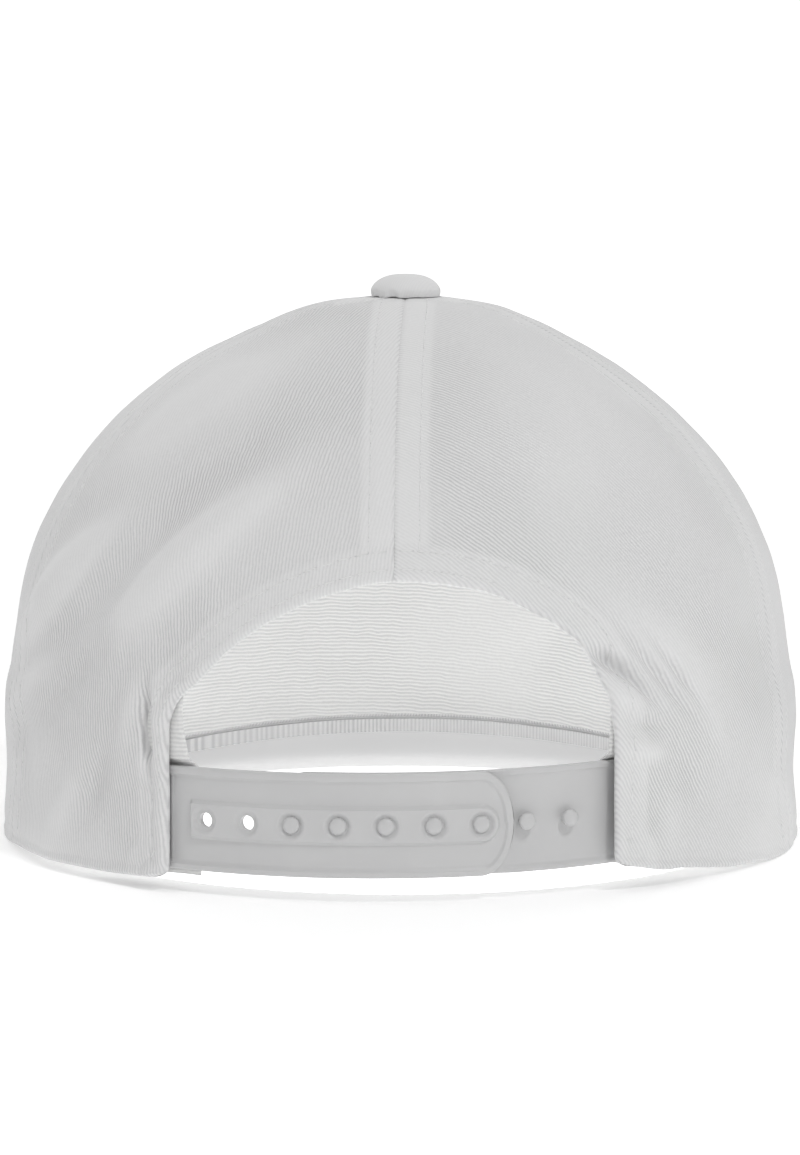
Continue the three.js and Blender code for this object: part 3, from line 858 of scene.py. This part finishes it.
# Topstitching in white thread: one row each side of every seam, one along the hem of the
# opening, and one nearer the hem's edge for part of the way. Each stitch is a short, slightly
# sunk length of thread, with painted shade at both ends where it goes into the needle holes.
stitch_pitch = 3.4 * mm
stitch_length = 3.0 * mm
thread_width = 0.27 * mm
thread_height = 0.18 * mm
crown_thread_lift = 0.10 * thread_height
peak_thread_lift = 0.25 * thread_height
thread_finish, thread_start, thread_shader = new_finish("white_thread", {"Roughness": 0.7})
thread_place = thread_start.node("ShaderNodeTexCoord", output="Object")
thread_bump = thread_start.node("ShaderNodeBump", sockets={
    "Height": thread_place.noise(2600.0, 1.0), "Distance": 0.06 * mm, "Strength": 1.0})
# Both ends of each stitch are painted darker: painted shade at the needle holes, where the thread goes into
# the cloth.
painted_needle_shade = thread_start.node("ShaderNodeAttribute", {"attribute_name": "needle_hole_shade"}, output=2)
painted_needle_shade.colour((0.80, 0.80, 0.80, 1), (0.58, 0.58, 0.59, 1)).feed(thread_shader, "Base Color")
thread_bump.feed(thread_shader, "Normal")

bpy.ops.object.select_all(action="DESELECT")
bpy.ops.mesh.primitive_uv_sphere_add(segments=6, ring_count=6, radius=0.5)
model_stitch = bpy.context.object
stitch_points = np.array([(v.co.z, v.co.x, v.co.y) for v in model_stitch.data.vertices])
stitch_points[:, 0] = np.sign(stitch_points[:, 0]) * np.abs(2 * stitch_points[:, 0]) ** 0.7 / 2
# Painted shade at both ends of each stitch, where it goes into the cloth.
stitch_end_shade = smooth(np.abs(stitch_points[:, 0]), 0.40, 0.47)
stitch_points *= (stitch_length, thread_width, thread_height)
stitch_faces = [tuple(polygon.vertices) for polygon in model_stitch.data.polygons]
bpy.data.objects.remove(model_stitch)


def sew(name, rows, finish, slot):
    """Lays stitches along rows of points, each with the outward directions of its cloth."""
    points, faces = [], []
    for line, outward in rows:
        run = line_length(line)
        count = int(run[-1] / stitch_pitch)
        middle = (np.arange(count) + 0.5) * run[-1] / count
        centre = at_lengths(middle, run, line)
        half = stitch_length / 2
        ahead = at_lengths(middle + half, run, line) - at_lengths(middle - half, run, line)
        ahead /= np.linalg.norm(ahead, axis=1, keepdims=True)
        up = at_lengths(middle, run, outward)
        across = np.cross(up, ahead)
        across /= np.linalg.norm(across, axis=1, keepdims=True)
        up = np.cross(ahead, across)
        for c, a, b, n in zip(centre, ahead, across, up):
            first = len(points) * len(stitch_points)
            points.append(c + stitch_points @ np.stack([a, b, n]))
            faces += [tuple(first + k for k in face) for face in stitch_faces]
    mesh = bpy.data.meshes.new(name)
    mesh.from_pydata(np.concatenate(points).tolist(), [], faces)
    # Marks the painted shade at the ends of each stitch.
    needle_hole_shade = np.tile(stitch_end_shade, len(points))
    mesh.attributes.new("needle_hole_shade", "FLOAT", "POINT").data.foreach_set("value", needle_hole_shade)
    piece = bpy.data.objects.new(name, mesh)
    bpy.context.scene.collection.objects.link(piece)
    bpy.ops.object.select_all(action="DESELECT")
    bpy.context.view_layer.objects.active = piece
    piece.select_set(True)
    bpy.ops.object.shade_smooth()
    dress(piece, finish, slot)
    return piece


def along_cloth(turn, level):
    """A row of points just over the outer cloth, with the outward directions there."""
    outer, _, _ = cloth_faces(turn, level)
    normal = crown_normal(turn, level)
    return outer + normal * crown_thread_lift, normal


crown_rows = []
button_room = 7.0 * mm
level_along_seam = np.linspace(0.004, 0.992, 500)
for seam in seam_turns[:-1]:
    for side in (-1, 1):
        level = level_along_seam
        turn = seam + side * seam_stitch_at / degree_width(np.full(len(level), float(seam)), level)
        points = crown_point(turn, level)
        clear = to_opening(points)[0] > hem_stitch_at - 0.3 * mm
        beside_button = np.hypot(points[:, 0] - top_lean, points[:, 1] - crown_y) > button_room
        above_arch = (seam != 0) | (points[:, 2] > opening_top)
        keep = clear & beside_button & above_arch
        crown_rows.append(along_cloth(turn[keep], level[keep]))


def hem_row(side, inset, share_from=0.0, share_to=1.0):
    """A row at an even distance from the opening's edge, out from it and down one side."""
    edge_turn, edge_level = opening_edge(side)
    edge = flat_place(edge_turn, edge_level)
    run = line_length(edge)
    shares = np.linspace(share_from, share_to, 260)
    smooth_edge = at_lengths(shares * run[-1], run, edge)
    ahead = np.gradient(smooth_edge, axis=0)
    for _ in range(30):
        ahead[1:-1] = (ahead[:-2] + ahead[1:-1] + ahead[2:]) / 3
    ahead /= np.linalg.norm(ahead, axis=1, keepdims=True)
    sideways = np.stack([-ahead[:, 1], ahead[:, 0]], -1) * side
    return from_flat(smooth_edge + sideways * inset)


for side in (-1, 1):
    crown_rows.append(along_cloth(*hem_row(side, hem_stitch_at, 0.01, 0.985)))
crown_rows.append(along_cloth(*hem_row(-1, edge_stitch_at, 0.01, 0.80)))
crown_rows.append(along_cloth(*hem_row(1, edge_stitch_at, 0.01, 0.25)))
sew("crown_stitching", crown_rows, thread_finish, "crown_twill")


# The sweatband: a band of fine ribbed cotton sewn round the inside of the rim. Its two ends
# run a little past the legs of the opening, where they show, and bend in behind the strap.
band_height = 36 * mm
band_wall = 1.2 * mm
band_lift = 1 * mm
band_show = {-1: 4.4 * mm, 1: 1.3 * mm}
band_show_top = 0.5
band_ease_turn = 12
band_edge_round = 0.6 * mm
behind_strap_from = -0.5 * mm
behind_strap_to = 1.1 * mm
band_pucker_depth = 0.12 * mm
band_pucker_length = 14 * mm
strap_tuck = 7 * mm
strap_width = 20.5 * mm
strap_plate = 1.2 * mm
strap_low = 5.3 * mm
strap_tilt = 1.1 * mm
strap_levels = crown_sections[crown_sections[:, 0] * crown_height < strap_low + strap_width]
strap_inset = cloth_wall + fit_gap
strap_half_width = crown_half_width * strap_levels[:, 1].min() - strap_inset
strap_back = crown_back * strap_levels[:, 2].min() - strap_inset
strap_room = 2 * (strap_plate + fit_gap) + crown_back * (1 - strap_levels[:, 2].min())
tuck_turn = math.degrees(math.asin((opening_half_width - opening_shift + strap_tuck) / strap_half_width))

band_columns = 460
band_rows = 30
up = finer_at(band_rows, start=True, end=True)[:, None]
leg_share = 1 - (1 - band_show_top) * smooth(up, 0.6, 1.0)
end_turns = []
for side in (1, -1):
    end_x = opening_half_width + side * opening_shift - band_show[side] * leg_share
    end_turns.append(np.degrees(np.arcsin(end_x / strap_half_width)))
round_band = finer_at(band_columns, start=True, end=True)[None]
turn = end_turns[0] + (360 - end_turns[1] - end_turns[0]) * round_band
away = away_from_back(turn)
room = strap_room * (1 - smooth(away, tuck_turn, tuck_turn + band_ease_turn))
rim = rim_height(turn)
height = rim + band_lift * smooth(away, 34, 44) + band_height * up
strap_top = strap_low + strap_width + strap_tilt * np.where(turn < 180, 0.5, -0.5)
room = room * (1 - 0.95 * smooth(height, strap_top + behind_strap_from, strap_top + behind_strap_to))
level = np.interp((height - rim) / (crown_height - rim), rise_steps, level_steps)
points = crown_point(turn, level)
normal = crown_normal(turn, level)
puckers = band_pucker_depth * ripples(points, band_pucker_length, 11) + fold_relief(turn, level, broad_folds)
depth = cloth_wall + fit_gap + room - puckers
edge = np.minimum(np.minimum(up, 1 - up) * band_height, np.minimum(round_band, 1 - round_band) * 0.5)
fullness = np.maximum(np.sqrt(1 - (1 - np.clip(edge / band_edge_round, 0, 1)) ** 2), 0.12)
band_middle = depth + band_wall / 2
outer = points - normal * (band_middle - band_wall / 2 * fullness)[..., None]
inner = points - normal * (band_middle + band_wall / 2 * fullness)[..., None]
outer[..., 2] = height
inner[..., 2] = height
pattern = np.stack([np.radians(turn) * crown_half_width, np.broadcast_to(band_height * up, turn.shape)], -1)
band = cloth_piece("sweatband_cloth", outer, inner, pattern, 0)
band_finish = twill_finish("sweatband_rib", (0.86, 0.86, 0.85), (0.68, 0.68, 0.68), 3, 0.86 * mm, 0.10 * mm)
dress(band, band_finish, "sweatband_cloth", "sweatband")


# The snap strap: two moulded plates of satin white plastic, each sewn in behind one leg of
# the opening. Both are modelled flat, with their depth inward, and then bent round the back.
strip_from_leg = 6.1 * mm
strip_margin = 3.5 * mm
strip_height = 7.2 * mm
strip_raise = 0.80 * mm
snap_pitch = 9.35 * mm
snap_count = 7
free_pegs = 2
hole_radius = 1.48 * mm
recess_radius = 2.60 * mm
recess_depth = 0.62 * mm
outer_tip_margin = 6.6 * mm
inner_tip_margin = 4.2 * mm
strap_round = 6.6 * mm
bead_raise = 0.50 * mm
top_bead = 1.8 * mm
low_bead = 1.5 * mm
peg_neck_radius = 1.25 * mm
peg_head_radius = 1.72 * mm
hole_snap = 0.22 * mm
slope_out = 0.35 * mm
lip_raise = 0.07 * mm
plate_round = 0.30 * mm
root_rib_at = 1.3 * mm
root_rib_raise = 0.2 * mm
inner_bead_raise = 0.40 * mm
inner_bead_share = 0.8
inner_plate_round = 0.25 * mm
plate_step = 0.32 * mm
plate_rows = 64
tip_columns = 40
strap_end_turn = 75

sweep = np.radians(np.linspace(-strap_end_turn, strap_end_turn, 3001))
strap_line = np.stack([strap_half_width * np.sin(sweep), crown_y - strap_back * np.cos(sweep)], -1)
strap_run = line_length(strap_line)
strap_run -= strap_run[-1] / 2


def bend_strap(along, depth, height):
    """Places on the bent strap from the length along it, the depth inward and the height."""
    angle = np.interp(along, strap_run, sweep)
    ahead = np.stack([strap_half_width * np.cos(angle), strap_back * np.sin(angle)], -1)
    ahead /= np.linalg.norm(ahead, axis=-1, keepdims=True)
    x = strap_half_width * np.sin(angle) - ahead[..., 1] * depth
    y = crown_y - strap_back * np.cos(angle) + ahead[..., 0] * depth
    return np.stack([x, y, height + strap_low + strap_tilt * along / (left_leg + right_leg)], -1)


def run_to(x):
    """Length along the strap from the middle of the back to a place beside it."""
    return abs(float(np.interp(x, strap_line[:, 0], strap_run)))


left_leg = run_to(opening_shift - opening_half_width)
right_leg = run_to(opening_shift + opening_half_width)
strip_start = strip_from_leg - left_leg
hole_places = strip_start + strip_margin + snap_pitch * np.arange(snap_count)
peg_places = hole_places + free_pegs * snap_pitch
peg_places = peg_places[peg_places < right_leg - 2 * peg_head_radius]


def plate_grid(root, tip):
    """Places along and up a plate from its square root to its rounded tip."""
    toward = math.copysign(1, tip - root)
    straight = abs(tip - root) - strap_round
    flat_steps = np.linspace(0, straight, int(straight / plate_step))
    angle = np.radians(np.linspace(0, 88, tip_columns))[1:]
    along = np.concatenate([flat_steps, straight + strap_round * np.sin(angle)])
    tall = np.concatenate([np.ones(len(flat_steps)), np.cos(angle)])
    up = finer_at(plate_rows, start=True, end=True)[:, None]
    along = np.broadcast_to(root + toward * along, (len(up), len(along)))
    height = strap_width * (0.5 + (up - 0.5) * tall)
    if toward < 0:
        along, height = along[:, ::-1], height[:, ::-1]
    return along, height


def plate_edge(along, height):
    """Distance to the top edge, the lower edge and the tip, in the flat plate."""
    rim_points = np.concatenate([
        np.stack([along[0], height[0]], -1), np.stack([along[-1], height[-1]], -1),
        np.stack([along[:, 0], height[:, 0]], -1), np.stack([along[:, -1], height[:, -1]], -1)])
    flat = np.stack([along, height], -1).reshape(-1, 2)
    return nearest_on(rim_points, flat)[0].reshape(along.shape)


def strap_piece(name, along, height, front, back_depth, holes):
    """A plate from its front relief, cut through at the holes and bent to the back of the cap."""
    piece = grid_sheet(name, along)
    mesh = piece.data
    mesh.vertices.foreach_set("co", np.stack([along, height, -front], -1).ravel())
    middle = strap_width / 2
    bpy.ops.object.mode_set(mode="EDIT")
    bpy.ops.mesh.select_all(action="DESELECT")
    bpy.ops.mesh.select_mode(type="FACE")
    bpy.ops.object.mode_set(mode="OBJECT")
    for polygon in mesh.polygons:
        centre = polygon.center
        polygon.select = any(math.hypot(centre.x - hole, centre.y - middle) < hole_radius for hole in holes)
    bpy.ops.object.mode_set(mode="EDIT")
    bpy.ops.mesh.delete(type="FACE")
    bpy.ops.mesh.select_mode(type="VERT")
    bpy.ops.object.mode_set(mode="OBJECT")
    for vertex in mesh.vertices:
        for hole in holes:
            gap = Vector((vertex.co.x - hole, vertex.co.y - middle))
            if gap.length < hole_radius + hole_snap:
                gap *= hole_radius / gap.length
                vertex.co.x = hole + gap.x
                vertex.co.y = middle + gap.y
    count = len(mesh.vertices)
    thicken(piece, strap_plate)
    places = np.empty(len(mesh.vertices) * 3)
    mesh.vertices.foreach_get("co", places)
    places = places.reshape(-1, 3)
    places[count:, :2] = places[:count, :2]
    places[count:, 2] = -back_depth
    mesh.vertices.foreach_set("co", bend_strap(places[:, 0], -places[:, 2], places[:, 1]).ravel())
    mesh.update()
    bpy.ops.object.shade_smooth_by_angle(angle=math.radians(40))
    return piece


plastic_finish, plastic_start, plastic_shader = new_finish("satin_plastic", {})
plastic_place = plastic_start.node("ShaderNodeTexCoord", output="Object")
plastic_cloud = plastic_place.noise(70.0, 3.0)
plastic_grain = plastic_place.noise(1400.0, 2.0)
plastic_bump = plastic_start.node("ShaderNodeBump", sockets={
    "Height": plastic_grain + plastic_cloud * 2, "Distance": 0.02 * mm, "Strength": 0.6})
plastic_bump.feed(plastic_shader, "Normal")
plastic_cloud.colour((0.56, 0.56, 0.565, 1), (0.64, 0.64, 0.64, 1)).feed(plastic_shader, "Base Color")
(plastic_cloud * 0.12 + 0.34).feed(plastic_shader, "Roughness")

# The outer plate comes from the left. A raised strip with rounded edges carries its holes,
# each in a dished recess with a fine lip, and a bead runs round its edge.
along, height = plate_grid(-(left_leg + strap_tuck), hole_places[-1] + outer_tip_margin)
edge = plate_edge(along, height)
bead = np.where(height > strap_width / 2, top_bead, low_bead)
front = -bead_raise * (1 - smooth(edge, bead - slope_out, bead + 0.15 * mm))
front += plate_round * (1 - smooth(edge, 0, 0.45 * mm)) ** 2
off_middle = np.abs(height - strap_width / 2)
past_end = np.maximum(along - hole_places[-1], 0)
to_strip = np.maximum(np.hypot(past_end, off_middle) - strip_height / 2, strip_start - along)
front -= strip_raise * (1 - smooth(to_strip, -slope_out, 0.12 * mm))
for hole in hole_places:
    from_hole = np.hypot(along - hole, height - strap_width / 2)
    front += recess_depth * (1 - smooth(from_hole, recess_radius - 0.65 * mm, recess_radius + 0.05 * mm))
    front -= lip_raise * bell(from_hole - recess_radius - 0.3 * mm, 0.25 * mm)
from_root_rib = along + left_leg - root_rib_at
front -= root_rib_raise * bell(from_root_rib, 0.35 * mm) * smooth(edge, low_bead, low_bead + 0.5 * mm)
hole_strap = strap_piece("snap_strap_outer", along, height, front, strap_plate, hole_places)
dress(hole_strap, plastic_finish, "strap_plastic", "snap_strap_holes")

# The inner plate comes from the right and carries the pegs. Five of them are pushed through
# the holes of the outer plate, and two stand free.
inner_front = strap_plate + fit_gap
along, height = plate_grid(right_leg + strap_tuck, peg_places[0] - inner_tip_margin)
edge = plate_edge(along, height)
bead = inner_bead_share * np.where(height > strap_width / 2, top_bead, low_bead)
outer_tip = hole_places[-1] + outer_tip_margin
shown = smooth(along, outer_tip - 2 * mm, outer_tip)
front = inner_front - inner_bead_raise * shown * (1 - smooth(edge, bead - slope_out, bead + 0.15 * mm))
front = front + inner_plate_round * (1 - smooth(edge, 0, 0.4 * mm)) ** 2
peg_strap = strap_piece("snap_strap_inner", along, height, front, inner_front + strap_plate, [])

# A peg from its foot to its domed top: radius, and depth inward from the plate's face.
peg_profile = (
    (peg_neck_radius, inner_front + 0.5 * strap_plate),
    (peg_neck_radius, -0.10 * mm),
    (peg_head_radius * 0.98, -0.13 * mm),
    (peg_head_radius, -0.30 * mm),
    (peg_head_radius * 0.95, -0.60 * mm),
    (peg_head_radius * 0.84, -0.86 * mm),
    (peg_head_radius * 0.62, -1.03 * mm),
    (peg_head_radius * 0.32, -1.13 * mm),
)
peg_parts = []
for peg in peg_places:
    bpy.ops.object.select_all(action="DESELECT")
    bpy.ops.mesh.primitive_circle_add(vertices=28, radius=peg_profile[0][0], fill_type="NGON")
    part = bpy.context.object
    bpy.ops.object.mode_set(mode="EDIT")
    bpy.ops.mesh.select_all(action="SELECT")
    radius, depth = peg_profile[0]
    bpy.ops.mesh.flip_normals()
    for next_radius, next_depth in peg_profile[1:]:
        bpy.ops.mesh.extrude_region_move(TRANSFORM_OT_translate={"value": (0, 0, depth - next_depth)})
        bpy.ops.transform.resize(value=(next_radius / radius, next_radius / radius, 1))
        radius, depth = next_radius, next_depth
    bpy.ops.mesh.poke()
    bpy.ops.mesh.select_all(action="SELECT")
    bpy.ops.mesh.normals_make_consistent(inside=False)
    bpy.ops.object.mode_set(mode="OBJECT")
    places = np.array([tuple(v.co) for v in part.data.vertices])
    seated = bend_strap(peg + places[:, 0], peg_profile[0][1] - places[:, 2], strap_width / 2 + places[:, 1])
    part.data.vertices.foreach_set("co", seated.ravel())
    part.data.update()
    bpy.ops.object.shade_smooth_by_angle(angle=math.radians(50))
    peg_parts.append(part)
bpy.ops.object.select_all(action="DESELECT")
for part in peg_parts:
    part.select_set(True)
peg_strap.select_set(True)
bpy.context.view_layer.objects.active = peg_strap
bpy.ops.object.join()
dress(peg_strap, plastic_finish, "strap_plastic", "snap_strap_pegs")


# The covered button: a metal shell under a disc of the same twill, drawn round its edge and
# tucked in underneath, where it rumples a little.
button_radius = 7.5 * mm
button_height = 4.4 * mm
button_edge = 1.3 * mm
button_foot = button_high.z - button_height
button_tuck = 0.25 * mm
button_edge_drop = 0.385 * mm
rumple_out = 0.4 * mm
rumple_down = 0.22 * mm
rumple_from = math.radians(232)
bpy.ops.object.select_all(action="DESELECT")
bpy.ops.mesh.primitive_uv_sphere_add(segments=128, ring_count=64, radius=1)
button = bpy.context.object
button.name = "button_cover"
places = np.array([tuple(v.co) for v in button.data.vertices])
up = places[:, 2]
out = np.hypot(places[:, 0], places[:, 1])
swing = np.arctan2(places[:, 1], places[:, 0])
height = np.where(
    up > 0,
    button_edge + (button_height - button_edge) * np.clip(up, 0, 1) ** 1.25,
    np.maximum(button_edge + 3.4 * mm * up, -button_tuck),
)
radius = button_radius * np.clip(out, 0, 1) ** np.where(up > 0, 0.8, 0.35)
tuck = smooth(-up, -0.35, 0.5)
rumple = tuck * (0.30 * np.sin(11 * swing + 1.3) + 0.22 * np.sin(17 * swing) + 0.15 * np.sin(29 * swing + 2))
most_rumpled = bell(np.angle(np.exp(1j * (swing - rumple_from))), 0.8)
radius = radius + rumple * rumple_out * (0.4 + 1.2 * most_rumpled)
height = height + most_rumpled * smooth(-up, -0.5, 0.2) * rumple_down * np.sin(9 * swing)
height = height - button_edge_drop * out ** 4
button_places = np.stack([
    top_lean + radius * np.cos(swing),
    crown_y + radius * np.sin(swing),
    button_foot + height,
], -1)
button.data.vertices.foreach_set("co", button_places.ravel())
spread = radius + np.maximum(-up, 0) * 2 * mm
lay_pattern(button.data, np.stack([np.cos(swing) * spread, np.sin(swing) * spread], -1))
button.data.update()
bpy.ops.object.shade_smooth()
button_cloth_dark = (0.77, 0.77, 0.775)
button_twill = twill_finish("button_twill", crown_cloth_light, button_cloth_dark, 60, 0.50 * mm, 0.015 * mm)
dress(button, button_twill, "button_twill", "button")


# The peak: a stiff board between two layers of twill, with rows of topstitching that follow
# its outer edge, sewn in under the front rim.
peak_row_gap = 6.5 * mm
peak_stitch_rows = 7
peak_press = 0.22 * mm
peak_quilt = 0.10 * mm
peak_edge_round = 1.6 * mm
quilt_from = 1.005
quilt_full = 1.035
stitches_from = 1.02
row_error = 0.2 * mm

# The outer edge from its corner towards its tip: out to the side as a share of
# peak_half_width, and forward as a share of the way from the corner to the tip.
peak_edge = ((1.00, 0.22), (0.94, 0.50), (0.72, 0.80), (0.38, 0.955))


def plan_point(turn, inset):
    """A place on the rim's outline from above, or a little inside it."""
    reach = np.where(np.abs(turn) < 90, crown_back * crown_sections[0, 2], crown_front * crown_sections[0, 3])
    angle = np.radians(turn)
    return np.stack([
        (crown_half_width * crown_sections[0, 1] - inset) * np.sin(angle),
        crown_y - (reach - inset) * np.cos(angle),
    ], -1)


peak_corner = plan_point(np.array(float(peak_turn)), 0)
peak_tip = crown_y + crown_front + peak_reach
half_edge = [peak_corner] + [
    np.array([aside * peak_half_width, peak_corner[1] + forward * (peak_tip - peak_corner[1])])
    for aside, forward in peak_edge
]
whole_edge = np.array(half_edge + [np.array([0, peak_tip])] + [p * (-1, 1) for p in half_edge[::-1]])
peak_columns = 240
peak_rows = 84
around = np.linspace(0, 1, peak_columns + 1)
edge_line = spline(whole_edge, np.linspace(0, 1, 1200))
outer_edge = spline(whole_edge, around)
inner_edge = plan_point(peak_turn + (360 - 2 * peak_turn) * around, cloth_wall)
out = finer_at(peak_rows, end=True)[:, None, None]
plan = inner_edge[None] * (1 - out) + outer_edge[None] * out


def to_peak_edge(plan):
    """Distance to the peak's outer edge, seen from above."""
    return nearest_on(edge_line, plan.reshape(-1, 2))[0].reshape(plan.shape[:-1])


def beyond_crown(plan):
    """Distance from the crown's middle as a share of the rim's there."""
    return np.hypot(plan[..., 0] / crown_half_width, (plan[..., 1] - crown_y) / crown_front)


def peak_faces(plan):
    """The upper and lower face of the peak over its plan, with the stitch rows pressed in."""
    edge = to_peak_edge(plan)
    rows = edge / peak_row_gap
    in_rows = (rows < peak_stitch_rows + 0.5) & (rows > 0.5)
    sewn = np.where(in_rows, smooth(beyond_crown(plan), quilt_from, quilt_full), 0)
    press = peak_press * sewn * bell((rows - np.round(rows)) * peak_row_gap, 0.9 * mm)
    quilt = peak_quilt * sewn * np.cos(2 * math.pi * rows)
    fullness = np.maximum(np.sqrt(1 - (1 - np.clip(edge / peak_edge_round, 0, 1)) ** 2), 0.10)
    spot = np.concatenate([plan, np.zeros(plan.shape[:-1] + (1,))], -1)
    middle = peak_underside(plan[..., 0]) + peak_thickness / 2
    half = (peak_thickness / 2 - press - quilt) * fullness + 0.04 * mm * ripples(spot, 12 * mm, 21)
    return middle + half, middle - half


top, bottom = peak_faces(plan)
upper = np.concatenate([plan, top[..., None]], -1)
lower = np.concatenate([plan, bottom[..., None]], -1)
peak = cloth_piece("peak_cloth", upper[:, ::-1], lower[:, ::-1], plan[:, ::-1], 0)
peak_twill = twill_finish("peak_twill", crown_cloth_light, crown_cloth_dark, 60, twill_pitch, twill_depth)
dress(peak, peak_twill, "peak_twill", "peak")

peak_rows_sewn = []
edge_ahead = np.gradient(edge_line, axis=0)
edge_ahead /= np.linalg.norm(edge_ahead, axis=1, keepdims=True)
edge_inward = np.stack([-edge_ahead[:, 1], edge_ahead[:, 0]], -1)
for row in range(1, peak_stitch_rows + 1):
    line = edge_line + edge_inward * row * peak_row_gap
    true_gap = np.abs(to_peak_edge(line) - row * peak_row_gap) < row_error
    line = line[(beyond_crown(line) > stitches_from) & true_gap & (line[:, 1] > crown_y)]
    top, bottom = peak_faces(line)
    upward = np.tile([0.0, 0.0, 1.0], (len(line), 1))
    above = np.concatenate([line, (top + peak_thread_lift)[:, None]], -1)
    beneath = np.concatenate([line, (bottom - peak_thread_lift)[:, None]], -1)
    peak_rows_sewn += [(above, upward), (beneath, -upward)]
sew("peak_stitching", peak_rows_sewn, thread_finish, "peak_twill")
